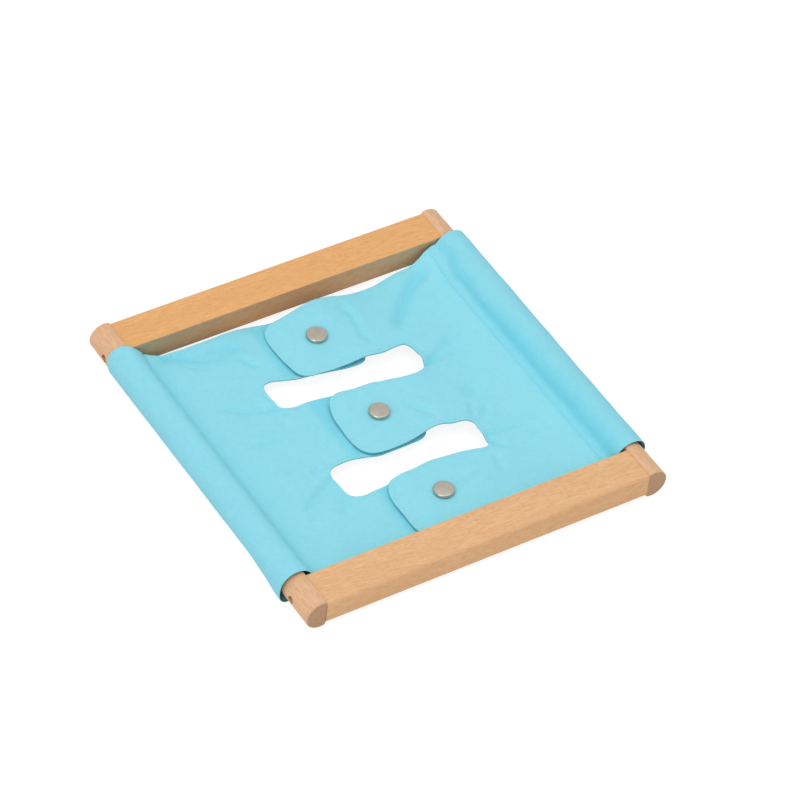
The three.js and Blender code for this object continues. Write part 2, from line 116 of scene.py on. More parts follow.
class DressingFrameWood(bpy.types.PropertyGroup):
    rail: bpy.props.FloatVectorProperty(
        name="Rails", description="Colour of the beech rails", subtype="COLOR", min=0, max=1,
        default=srgb(228, 187, 151))
    rear_bar: bpy.props.FloatVectorProperty(
        name="Rear crossbar", description="Colour of the rear crossbar", subtype="COLOR", min=0, max=1,
        default=srgb(235, 181, 121))
    front_bar: bpy.props.FloatVectorProperty(
        name="Front crossbar", description="Colour of the front crossbar", subtype="COLOR", min=0, max=1,
        default=srgb(232, 188, 142))
    fleck: bpy.props.FloatProperty(
        name="Fleck length", description="Length of the short dark flecks along the grain",
        default=0.0022, min=0.0005, max=0.01, unit="LENGTH", precision=5)
    roughness: bpy.props.FloatProperty(
        name="Roughness", description="How matt the sanded wood is", default=0.5, min=0, max=1,
        subtype="FACTOR")


class DressingFrameCanvas(bpy.types.PropertyGroup):
    colour: bpy.props.FloatVectorProperty(
        name="Canvas", description="Colour of the canvas", subtype="COLOR", min=0, max=1,
        default=srgb(148, 223, 238))
    thickness: bpy.props.FloatProperty(
        name="Thickness", description="Thickness of one layer of canvas", default=0.00092,
        min=0.0003, max=0.0012, unit="LENGTH", precision=5)
    hem_thickness: bpy.props.FloatProperty(
        name="Hem thickness", description="Thickness of the canvas where it is folded over at an edge",
        default=0.0015, min=0.0003, max=0.0018, unit="LENGTH", precision=5)
    hem_width: bpy.props.FloatProperty(
        name="Hem width", description="Distance of the stitches from an edge", default=0.0028,
        min=0.002, max=0.008, unit="LENGTH", precision=5)
    mesh_step: bpy.props.FloatProperty(
        name="Mesh step", description="Distance between the points of the canvas mesh", default=0.0018,
        min=0.001, max=0.006, unit="LENGTH", precision=5)
    thread: bpy.props.FloatVectorProperty(
        name="Thread", description="Colour of the thread in the flaps", subtype="COLOR", min=0, max=1,
        default=srgb(149, 221, 238))
    tab_thread: bpy.props.FloatVectorProperty(
        name="Tab thread", description="Colour of the topstitching on the tabs", subtype="COLOR", min=0,
        max=1, default=srgb(178, 221, 216))
    stitch_pitch: bpy.props.FloatProperty(
        name="Stitch pitch", description="Distance from one stitch to the next", default=0.0031,
        min=0.001, max=0.008, unit="LENGTH", precision=5)
    stitch_length: bpy.props.FloatProperty(
        name="Stitch length", description="Length of one stitch", default=0.0022, min=0.0008,
        max=0.006, unit="LENGTH", precision=5)
    weave: bpy.props.FloatProperty(
        name="Weave pitch", description="Distance from one thread of the weave to the next",
        default=0.00062, min=0.0003, max=0.002, unit="LENGTH", precision=5)


class DressingFrameMetal(bpy.types.PropertyGroup):
    nickel: bpy.props.FloatVectorProperty(
        name="Press studs", description="Colour of the satin nickel plate", subtype="COLOR", min=0, max=1,
        default=srgb(195, 189, 178))
    spring: bpy.props.FloatVectorProperty(
        name="Springs", description="Colour of the spring wire", subtype="COLOR", min=0, max=1,
        default=srgb(200, 198, 194))
    screw: bpy.props.FloatVectorProperty(
        name="Screws", description="Colour of the zinc plated screws", subtype="COLOR", min=0, max=1,
        default=srgb(150, 152, 154))
    roughness: bpy.props.FloatProperty(
        name="Roughness", description="How satin the nickel is", default=0.3, min=0, max=1,
        subtype="FACTOR")


class DressingFrameStage(bpy.types.PropertyGroup):
    floor: bpy.props.FloatVectorProperty(
        name="Floor", description="Colour of the floor", subtype="COLOR", min=0, max=1,
        default=(0.8, 0.8, 0.8))
    key: bpy.props.FloatProperty(
        name="Main lamp", description="Power of the large lamp", default=26.0, min=0, max=500,
        unit="POWER")
    sky: bpy.props.FloatProperty(
        name="Soft light", description="Strength of the even light from all sides", default=0.72, min=0,
        max=2)
    fill: bpy.props.FloatProperty(
        name="Side lamp", description="Power of the weaker lamp on the other side", default=13.9, min=0,
        max=200, unit="POWER")
    yaw: bpy.props.FloatProperty(
        name="Camera direction", description="Turn of the camera about the upright axis",
        default=math.radians(-36.48), subtype="ANGLE")
    pitch: bpy.props.FloatProperty(
        name="Camera height angle", description="Angle of the camera above the floor",
        default=math.radians(44.51), subtype="ANGLE")
    roll: bpy.props.FloatProperty(
        name="Camera roll", description="Turn of the camera about its own line of sight",
        default=math.radians(6.90), subtype="ANGLE")
    distance: bpy.props.FloatProperty(
        name="Camera distance", description="Distance of the camera from the frame's middle",
        default=3.153, min=0.5, max=10, unit="LENGTH")
    lens: bpy.props.FloatProperty(
        name="Lens", description="Focal length of the camera in millimetres", default=196.335, min=20,
        max=400)


# Meshes


def ramp(value):
    """A smooth step from 0 to 1."""
    share = np.clip(value, 0, 1)
    return share * share * (3 - 2 * share)


def swell(value, middle, width):
    """A smooth bump of height 1."""
    return np.exp(-(((value - middle) / width) ** 2))


def make_mesh(name, points, faces, body, material):
    """A named mesh object, from points in millimetres, that rides on a body."""
    mesh = bpy.data.meshes.new(name)
    mesh.from_pydata([tuple(point) for point in np.asarray(points) * MM], [], faces)
    mesh.validate()
    mesh.update()
    mesh.shade_smooth()
    piece = bpy.data.objects.new(name, mesh)
    bpy.context.collection.objects.link(piece)
    mesh.materials.append(material)
    if body:
        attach(piece, body)
    return piece


def travelled(line):
    """Length passed at each point of a line."""
    return np.concatenate([[0], np.cumsum(np.linalg.norm(np.diff(line, axis=0), axis=1))])


def at_places(places, along, line):
    """Points of a flat line at given lengths along it."""
    return np.stack([np.interp(places, along, line[:, k]) for k in range(2)], axis=1)


def between(value, start, end, first, second):
    """Straight blend from one point at the start to another at the end."""
    return (end - value) / (end - start) * first + (value - start) / (end - start) * second


def soft_line(corners, step, closed=True):
    """Evenly spaced points on a soft curve (a centripetal Catmull-Rom spline) through the corners."""
    corners = np.asarray(corners, float)
    count = len(corners)
    pieces = []
    for index in range(count if closed else count - 1):
        near = range(index - 1, index + 3)
        points = [corners[k % count if closed else min(max(k, 0), count - 1)] for k in near]
        gaps = [max(np.linalg.norm(points[k + 1] - points[k]), 1e-6) ** 0.5 for k in range(3)]
        knots = np.concatenate([[0], np.cumsum(gaps)])
        places = np.linspace(knots[1], knots[2], 24, endpoint=False)[:, None]
        for spans in (((0, 1), (1, 2), (2, 3)), ((0, 2), (1, 3)), ((1, 2),)):
            points = [between(places, knots[start], knots[end], first, second)
                      for (start, end), first, second in zip(spans, points, points[1:])]
        pieces.append(points[0])
    line = np.concatenate(pieces + [corners[:1] if closed else corners[-1:]])
    along = travelled(line)
    places = np.linspace(0, along[-1], max(int(round(along[-1] / step)), 3) + 1)
    return at_places(places[:-1] if closed else places, along, line)


def inward(loop):
    """Unit directions to the inside of a closed loop that runs anticlockwise."""
    ahead = np.roll(loop, -1, axis=0) - np.roll(loop, 1, axis=0)
    ahead /= np.linalg.norm(ahead, axis=1)[:, None]
    return np.stack([-ahead[:, 1], ahead[:, 0]], axis=1)


def from_loop(points, loop):
    """Distance of each point from a closed loop, by the stretches of it next to its nearest corner."""
    tree = KDTree(len(loop))
    for index, (x, y) in enumerate(loop):
        tree.insert((x, y, 0), index)
    tree.balance()
    corner = np.array([tree.find((x, y, 0))[1] for x, y in points], int)
    distance = np.full(len(points), 1e9)
    for shift in (-2, -1, 0, 1):
        start = loop[(corner + shift) % len(loop)]
        run = loop[(corner + shift + 1) % len(loop)] - start
        gap = points - start
        share = np.clip((gap * run).sum(axis=1) / (run ** 2).sum(axis=1), 0, 1)
        distance = np.minimum(distance, np.linalg.norm(gap - share[:, None] * run, axis=1))
    return distance


def from_loops(points, loops):
    """Distance of each point from the nearest of several closed loops."""
    return np.min([from_loop(points, loop) for loop in loops], axis=0)


def inside(points, loops):
    """Whether each point is inside the loops, counted odd and even."""
    odd = np.zeros(len(points), bool)
    for loop in loops:
        following = np.roll(loop, -1, axis=0)
        for (x0, y0), (x1, y1) in zip(loop, following):
            if y0 == y1:
                continue
            spans = (points[:, 1] >= min(y0, y1)) & (points[:, 1] < max(y0, y1))
            crossing = x0 + (points[:, 1] - y0) * (x1 - x0) / (y1 - y0)
            odd ^= spans & (points[:, 0] < crossing)
    return odd


# How the canvas lies

# Each crease: its points in plan, its depth, half its width, the height of the lip beside it, and how much
# of its length it takes to fade in and out
LEFT_CREASES = [
    ([(-117, 119), (-100, 108), (-82, 101), (-62, 102), (-41, 108)], 2.2, 7.2, 0.3, 0.1, 0.3),
    ([(-93, 109), (-66, 106), (-48, 101)], 1.0, 2.6, 0.2, 0.3, 0.3),
    ([(-114, 116), (-100, 110), (-84, 99)], 1.4, 2.6, 0.2, 0.1, 0.3),
    ([(-104, 106), (-92, 94), (-74, 88)], 0.9, 2.8, 0.2, 0.3, 0.4),
    ([(-61, 94), (-51, 77)], 1.8, 3.0, 0.4, 0.4, 0.3),
    ([(-107, 53), (-97, 51), (-83, 42), (-61, 36)], 1.5, 3.2, 0.5, 0.3, 0.0),
    ([(-107, 9), (-89, 8), (-65, 10)], 1.1, 3.2, 0.4, 0.3, 0.3),
    ([(-73, -33), (-62, -27)], 1.1, 2.5, 0.2, 0.3, 0.3),
    ([(-100, -67), (-81, -53), (-62, -42)], 1.3, 2.8, 0.5, 0.3, 0.0),
    ([(-62, -65), (-75, -82)], 0.9, 3.2, 0.2, 0.0, 0.4),
]
RIGHT_CREASES = [
    ([(116, 109), (95, 101), (80, 89), (67, 75), (57, 60)], 3.7, 5.2, 0.6, 0.15, 0.25),
    ([(30, 109), (35, 93), (32, 70), (36, 55)], 1.7, 3.6, 0.1, 0.3, 0.2),
    ([(59, 25), (81, 36), (102, 47)], 2.0, 3.2, 0.7, 0.0, 0.4),
    ([(60, 26), (81, 27), (99, 23)], 1.5, 3.6, 0.4, 0.0, 0.4),
    ([(21, 0), (30, -17), (40, -29)], 1.5, 2.7, 0.4, 0.3, 0.3),
    ([(68, -21), (60, -37)], 1.3, 2.1, 0.4, 0.4, 0.0),
    ([(79, -28), (66, -40)], 1.3, 2.1, 0.4, 0.4, 0.1),
    ([(60, -58), (82, -58), (102, -62)], 1.3, 2.5, 0.5, 0.0, 0.4),
    ([(58, -62), (68, -74), (81, -77)], 1.3, 2.5, 0.4, 0.0, 0.4),
    ([(55, -73), (49, -96)], 1.1, 2.8, 0.2, 0.2, 0.4),
    ([(41, -86), (13, -94)], 0.9, 3.2, 0.2, 0.3, 0.3),
    ([(75, -9), (76, -10)], 1.5, 7.6, 0.0, 0.0, 0.0),
]


def crease_height(creases, x, y):
    """Height that the creases add at places in plan."""
    height = np.zeros_like(x)
    everywhere = np.stack([x, y], axis=1)
    for corners, depth, width, lip, fade_in, fade_out in creases:
        reach = 4.5 * width
        low_corner = np.min(corners, axis=0) - reach
        high_corner = np.max(corners, axis=0) + reach
        near = ((everywhere > low_corner) & (everywhere < high_corner)).all(axis=1)
        if not near.any():
            continue
        points = everywhere[near]
        line = soft_line(corners, 3.0, closed=False) if len(corners) > 2 else np.asarray(corners, float)
        run = np.diff(line, axis=0)
        length = np.linalg.norm(run, axis=1)
        best = np.full(len(points), 1e9)
        side = np.zeros(len(points))
        share = np.zeros(len(points))
        for start, step, size, passed in zip(line, run, length, travelled(line)):
            gap = points - start
            along = np.clip((gap @ step) / size ** 2, 0, 1)
            distance = np.linalg.norm(gap - along[:, None] * step, axis=1)
            nearer = distance < best
            best = np.where(nearer, distance, best)
            turn = np.sign(step[0] * gap[:, 1] - step[1] * gap[:, 0])
            side = np.where(nearer, turn * distance, side)
            share = np.where(nearer, (passed + along * size) / length.sum(), share)
        fade = np.ones(len(points))
        for fading, from_end in ((fade_in, share), (fade_out, 1 - share)):
            if fading:
                fade *= ramp(from_end / fading)
        height[near] -= depth * fade * swell(best, 0, width)
        height[near] += lip * fade * swell(side, 1.9 * width, 1.2 * width)
    return height


def slack(x, y):
    """The soft unevenness of canvas that hangs between its seams."""
    waves = (
        (0.20, 0.105, 0.04, 0.3), (0.16, -0.06, 0.13, 1.7), (0.12, 0.19, -0.08, 4.1),
        (0.08, 0.11, 0.27, 2.2), (0.05, -0.34, 0.16, 5.2), (0.035, 0.42, 0.39, 0.9),
    )
    return sum(size * np.sin(across * x + along * y + shift) for size, across, along, shift in waves)


def near_studs(x, y):
    """0 at the press studs, where the canvas is clamped flat, and 1 away from them."""
    clamped = 6.5
    fading = 7
    free = np.ones_like(x)
    for place in STUD_PLACES.values():
        free *= ramp((np.hypot(x, y - place) - clamped) / fading)
    return free


def corner_lift(side, y):
    """How far the rear corner of the cloth is pulled up beside its rail."""
    return 5.2 * ramp((y - 84) / 36) if side > 0 else 0.6 * ramp((y - 96) / 26)


def corner_fill(side, across, y):
    """How far the hollow beside the rail is pulled flat at the cloth's rear end."""
    if side > 0:
        return 3.2 * ramp((y - 92) / 28) * swell(across, -4.2, 6.0)
    return 4.6 * ramp((y - 106) / 16) * swell(across, -1.2, 5.5)


def left_height(x, y):
    """Height of the left flap in plan: it falls to the tongues, and swells under its rear hem."""
    seam_x, seam_z = SEAMS[-1]
    z = seam_z + (TONGUE_Z - seam_z) * ramp((x + seam_x) / 62)
    z = z + 2.6 * ramp((y - 60) / 55) * ramp((x + seam_x) / 20) * ramp((-28 - x) / 30)
    z = z + corner_lift(-1, y) * ramp((-98 - x) / (seam_x - 98))
    loose = crease_height(LEFT_CREASES, x, y) + slack(x, y) * ramp((x + seam_x) / 12)
    z = z + loose * ramp((20 - x) / 50)
    return np.where(x > -40, TONGUE_Z + (z - TONGUE_Z) * near_studs(x, y), z)


def right_height(x, y):
    """Height of the right flap in plan: it sags to the tabs, which dip at their ends, under a wavy hem."""
    seam_x, seam_z = SEAMS[1]
    run = np.clip((seam_x - x) / (seam_x - 28), 0, 1)
    z = seam_z + (TAB_Z - seam_z) * ramp(run) - 2.4 * np.sin(np.pi * run) ** 2
    z = z + corner_lift(1, y) * ramp((x - 96) / (seam_x - 96))
    z = z - 2.9 * ramp((-14 - x) / 21.5)
    hem = 3.2 * swell(x, 14, 16) + 0.8 * swell(x, -5, 20) - swell(x, 52, 18) + 2 * swell(x, 92, 14)
    z = z + hem * ramp((y - 70) / 45)
    z = z + crease_height(RIGHT_CREASES, x, y) + 0.8 * slack(x + 40, y - 25) * ramp((seam_x - x) / 12)
    return np.where(x < 40, TAB_Z + (z - TAB_Z) * near_studs(x, y), z)


# The middle of a sleeve's canvas, from its rail's axis, the room that the canvas keeps above the floor, the
# strip that is sewn under the seam, and the layers' distance there
SLEEVE_MIDDLE = 12.55
HALF_CANVAS = 0.55
FLANGE = 5.0
LAYERS = 0.95

# How the cloth climbs from each seam to the rail's top: places from the rail's axis, outwards and up. None
# is nearer to the axis than the rail's round side with half the cloth, so the sleeve can turn on its rail.
FLANKS = {
    -1: [(-13.0, -0.5), (-12.15, 1.6), (-11.35, 4.55), (-9.75, 7.37), (-7.65, 9.6)],
    1: [(-15.6, -0.8), (-13.7, 0.1), (-12.2, 2.4), (-11.02, 5.38), (-9.15, 8.2), (-7.1, 10.2)],
}


def sleeve_path(side):
    """Length along and places of the cloth round a rail, from the seam, over the rail and back under it."""
    seam = np.array([SEAMS[side][0] - RAIL_X, SEAMS[side][1] - RAIL_Z])
    under = seam - (0, LAYERS)
    last = math.atan2(under[1], under[0]) % (2 * math.pi)
    last += math.acos(SLEEVE_MIDDLE / np.hypot(*under)) - 2 * math.pi

    def on_circle(turns):
        return [SLEEVE_MIDDLE * np.array([math.cos(turn), math.sin(turn)]) for turn in turns]

    top = math.radians(92)
    climb = [seam, *FLANKS[side], *on_circle(np.radians([116, 108, 100])), *on_circle([top])]
    places = [*soft_line(climb, 0.3, closed=False), *on_circle(np.linspace(top, last, 110)[1:])]
    places += [under, under - (FLANGE, 0), under - (FLANGE + 5, 0)]
    places = np.array(places)
    return travelled(places), places


SLEEVES = {side: sleeve_path(side) for side in (-1, 1)}
SLEEVE_LENGTH = {side: along[-2] for side, (along, places) in SLEEVES.items()}


def sleeve_bulge(side, angle, y):
    """How far the sleeve stands off its rail at an angle above the outward side, in degrees."""
    if side > 0:
        bulge = (2.1 + 0.9 * ramp((y + 60) / 150)) * swell(angle, 36, 52)
        bulge += 0.5 * ramp((y - 70) / 45) * swell(angle, 80, 40)
        bulge += (0.8 * swell(y, 91, 7) + 0.6 * swell(y, 66, 4.5)) * swell(angle, 140, 40)
    else:
        bulge = (0.25 + 2.4 * ramp((-y - 70) / 50)) * swell(angle, -42, 30)
        bulge += 0.35 * swell(angle, 40, 50) + 1.9 * ramp((-y - 98) / 25) * swell(angle, 40, 80)
    uneven = 0.09 * np.sin(0.11 * y + 0.05 * angle) + 0.06 * np.sin(0.23 * y - 0.03 * angle + 2)
    bulge += uneven * swell(angle, 30, 60)
    deepest = (RAIL_Z - HALF_CANVAS) / np.maximum(-np.sin(np.radians(angle)), 0.05) - SLEEVE_MIDDLE
    return np.minimum(bulge, np.maximum(deepest, 0))


def cloth_raw(side, across, y):
    """Place of the cloth's middle, before the seam is softened."""
    seam_x = SEAMS[side][0]
    along, places = SLEEVES[side]
    x = side * (seam_x - across)
    panel_x = side * (seam_x - np.maximum(across, 0))
    height = right_height if side > 0 else left_height
    panel = np.stack([panel_x, y, height(panel_x, y)], axis=1)
    back = np.maximum(-across, 0)
    out = np.interp(back, along, places[:, 0])
    up = np.interp(back, along, places[:, 1])
    radius = np.hypot(out, up)
    angle = np.degrees(np.arctan2(up, out))
    bulge = sleeve_bulge(side, angle, y)
    if side > 0:
        bulge += crease_height(RIGHT_CREASES, x, y) * (back < 20)
    bulge *= ramp((radius - 0.2) / 10) * ramp(back / 4) * ramp((SLEEVE_LENGTH[side] - FLANGE - back) / 10)
    lift = corner_lift(side, y) * (1 - ramp(back / 13))
    sleeve = np.stack([side * (RAIL_X + out * (1 + bulge / radius)), y,
                       RAIL_Z + up * (1 + bulge / radius) + lift], axis=1)
    return np.where((across >= 0)[:, None], panel, sleeve)


# How the fold at the seam is softened (shift across and weight), and the stitched valley along it
SEAM_SOFTNESS = ((-1.2, 0.12), (-0.6, 0.22), (0.0, 0.32), (0.6, 0.22), (1.2, 0.12))
SEAM_VALLEY = {-1: 0.9, 1: 0.35}
SEAM_VALLEY_WIDTH = 1.7


def cloth_middle(side, across, y):
    """Place of the cloth's middle at a place on the flat cloth, in millimetres."""
    place = cloth_raw(side, across, y)
    place[:, 2] += corner_fill(side, across, y)
    near = np.abs(across) < 4
    place[near] = sum(
        weight * cloth_raw(side, across[near] + shift, y[near]) for shift, weight in SEAM_SOFTNESS)
    place[near, 2] += corner_fill(side, across[near], y[near])
    place[:, 2] -= SEAM_VALLEY[side] * swell(across, 0.3, SEAM_VALLEY_WIDTH) * (across > -12)
    return place


# The shaded band beside the right rail: place along it, middle and half width across it, and its depth
RIGHT_BAND = (
    (-110, 25, 44, 55, 66, 77, 91, 105, 119),
    (10.5, 9.5, 8.5, 7.5, 9.0, 12.5, 13.0, 15.5, 16.0),
    (9.0, 8.4, 6.5, 5.0, 4.5, 5.0, 4.5, 5.0, 5.0),
    (1.0, 1.0, 1.0, 1.0, 0.55, 0.85, 0.45, 0.7, 0.3),
)


def hollow(side, across, y):
    """Share of painted shade on the cloth, from 0 to 1: in its creases, on the tongues under a tab, and
    beside its rail.
    """
    x = side * (SEAMS[side][0] - across)
    # Painted shade in the creases
    crease_and_tab_shade = -0.24 * crease_height(LEFT_CREASES if side < 0 else RIGHT_CREASES, x, y)
    back = -across
    if side > 0:
        # Painted shade in the shaded band up the right rail's flank
        middle, width, depth = (np.interp(y, RIGHT_BAND[0], row) for row in RIGHT_BAND[1:])
        beside = depth * swell(back, middle, width)
    else:
        # Painted shade up the left sleeve's inner flank and in the valley at its seam, less at the rear end
        beside = np.where(back > 0, ramp((21 - back) / 13), swell(back, 0, 1.2))
        beside = beside * (1 - 0.6 * ramp((y - 104) / 18))
        # Painted shade on the tongues, which lie in the tabs' shadow
        crease_and_tab_shade = np.maximum(crease_and_tab_shade, ramp((x + 43) / 7))
    return np.clip(np.maximum(crease_and_tab_shade, beside), 0, 1)


def cloth_normal(side, across, y):
    """Unit direction out of the cloth's face."""
    step = 0.25
    run = cloth_middle(side, across + step, y) - cloth_middle(side, across - step, y)
    rise = cloth_middle(side, across, y + step) - cloth_middle(side, across, y - step)
    normal = -side * np.cross(run, rise)
    return normal / np.linalg.norm(normal, axis=1)[:, None]


def half_thickness(edge, sleeve):
    """Half the cloth's thickness at a distance from its edge, with its rolled hem and its stitched line."""
    canvas = bpy.context.scene.dressing_frame_canvas
    plain = canvas.thickness / MM / 2
    hem = canvas.hem_thickness / MM / 2
    width = canvas.hem_width / MM
    pressed = 0.75
    full = np.where(sleeve, plain * pressed, hem + (plain - hem) * ramp((edge - width - 0.2) / 0.9))
    full = full - 0.12 * swell(edge, width, 0.6) * ~sleeve
    share = np.clip(edge / EDGE_RINGS[-1], 0, 1)
    return full * np.sqrt(np.maximum(1 - (1 - share) ** 2, 0))


# Flat outlines, in plan: beyond the seam the places go on round the rail

LEFT_OUTLINE = [
    (-120, 121.6), (-113, 119.2), (-104, 117.3), (-94, 116.3), (-70, 117), (-46, 117.8), (-35, 116.8),
    (-24, 114.9), (-8, 115), (8, 115), (17, 114.2), (23, 110), (25, 103), (25, 82), (25, 62),
    (24.6, 54.5), (22.5, 50.6), (19, 48.9), (13, 48.5), (4, 49.3), (-8, 51.6), (-19, 53.5), (-33, 56),
    (-42, 58.8), (-50, 61.2), (-57, 60.4), (-59.5, 55.5), (-60, 49), (-59.6, 43), (-57.5, 35.6), (-51, 32),
    (-39, 31.6), (-28, 30.5), (-19, 29.2), (-5, 28.4), (8, 28.2), (18, 27), (24, 22), (25, 14),
    (25, -5), (25, -24), (23.2, -33), (18, -37), (8, -38), (-8, -38), (-20, -37.8), (-30, -35),
    (-38.5, -33), (-47.5, -32.6), (-54.7, -33.4), (-59.5, -36.6), (-60.7, -43), (-60.2, -52),
    (-59.3, -60.2), (-56.5, -64.6), (-51.2, -66.6), (-42, -66.4), (-33, -66), (-24, -64.6),
    (-12, -62.4), (2, -61.5), (14, -62), (21.5, -65), (25, -72), (25, -90), (25, -107), (22.5, -116),
    (16, -120.2), (6, -121), (-30, -121), (-70, -121), (-100, -121), (-112, -121.6), (-118, -123),
]
RIGHT_OUTLINE = [
    (118.5, -122.8), (112, -121.6), (100, -121), (60, -121), (20, -121), (-8, -121), (-24, -121),
    (-31.5, -119.6), (-35, -115.2), (-36, -107.6), (-35.8, -97.5), (-36, -86), (-35, -77.5),
    (-32, -70), (-28, -65.6), (-22, -64.3), (-13, -64), (-6, -63.8), (7, -62.6), (18, -63.4),
    (29.5, -64.2), (42.5, -66.4), (51, -67.7), (55.2, -66), (56.4, -59.7), (57.2, -50), (57, -42.4),
    (53.5, -38.8), (43, -37.3), (34, -34.6), (25.5, -34.8), (16, -37.2), (6, -39.2), (-6, -40.2),
    (-17, -39.6), (-25, -36), (-30, -28.7), (-32, -18.6), (-31.7, -6), (-30.8, 6.6), (-27.6, 18),
    (-23.4, 24.2), (-18, 26.2), (-4, 24.8), (9, 23.7), (22, 21.6), (38.7, 18.7), (49.5, 19.6),
    (56, 22.8), (58.8, 28), (59, 35), (58.2, 43), (55, 48.9), (47, 49), (35, 47.4), (23, 48.8),
    (4, 48), (-10, 48.3), (-19, 49.6), (-26, 52.6), (-30.6, 58), (-32.6, 67), (-34, 82.6),
    (-33.4, 98), (-30.5, 106), (-25, 110), (-14.8, 111), (0, 113.2), (15, 114.6), (29, 114.8),
    (37, 113.6), (45, 112.3), (56, 112.4), (67, 113.2), (78, 115), (89, 116), (102, 117),
    (111, 119.2), (117, 121.6),
]


# The rear end of each sleeve: place across from the seam, and how far it reaches past the sleeve's end
REAR_ENDS = {
    -1: [(-50, 0), (-44, 0.6), (-38, 3.2), (-32, 4.6), (-26, 4.2), (-20, 2.6), (-14, 0.8), (-4, -0.8)],
    1: [(-50, 0), (-26, 0.4), (-14, 0), (-5, -0.5)],
}
POST_HOLE = 2.2

# Rings of points inside every edge, which round it off, and further in, which shape the hem, and how far the
# evenly spaced points stay from an edge, from a hole and from the line where the tabs begin
EDGE_RINGS = (0.08, 0.22, 0.5)
HEM_RINGS = (1.0, 1.7, 2.3, 2.8, 3.3, 4.1, 5.4, 7.0)
GRID_GAPS = (7.6, 1.2, 0.7)


def flat_outline(side):
    """The cloth's outline on the flat: distance across from the seam, and place along it."""
    corners = LEFT_OUTLINE if side < 0 else RIGHT_OUTLINE
    panel = [(SEAMS[side][0] - side * x, y) for x, y in corners]
    end = -SLEEVE_LENGTH[side]
    front = [(across, -SLEEVE_END) for across in (-4, -25, -50, end + 8)]
    flange = [(end + 2, -SLEEVE_END + 2), (end, -SLEEVE_END + 10), (end, 0), (end, SLEEVE_END - 10),
              (end + 2, SLEEVE_END - 2)]
    rear = [(across, SLEEVE_END + past) for across, past in [(end + 8, 0), *REAR_ENDS[side]]]
    if side < 0:
        corners = (rear + panel + front + flange)[::-1]
    else:
        corners = flange + rear + panel[::-1] + front
    loop = soft_line(corners, 1.25)
    area = (loop[:, 0] * np.roll(loop[:, 1], -1) - np.roll(loop[:, 0], -1) * loop[:, 1]).sum()
    return loop if area > 0 else loop[::-1]


def stud_holes(side):
    """The holes for the press studs' posts, as clockwise loops on the flat cloth."""
    turn = np.linspace(0, -2 * math.pi, 20, endpoint=False)
    return [
        np.stack([SEAMS[side][0] + POST_HOLE * np.cos(turn), place + POST_HOLE * np.sin(turn)], axis=1)
        for place in STUD_PLACES.values()]


def stitch_edge(loop, loops, distance):
    """Points at a distance inside a loop, and which of them stay clear of the other edges."""
    points = loop + inward(loop) * distance
    return points, from_loops(points, loops) > distance - 0.06


# How far the two faces of the canvas are apart in its own pattern
LAYER_GAP = 0.01


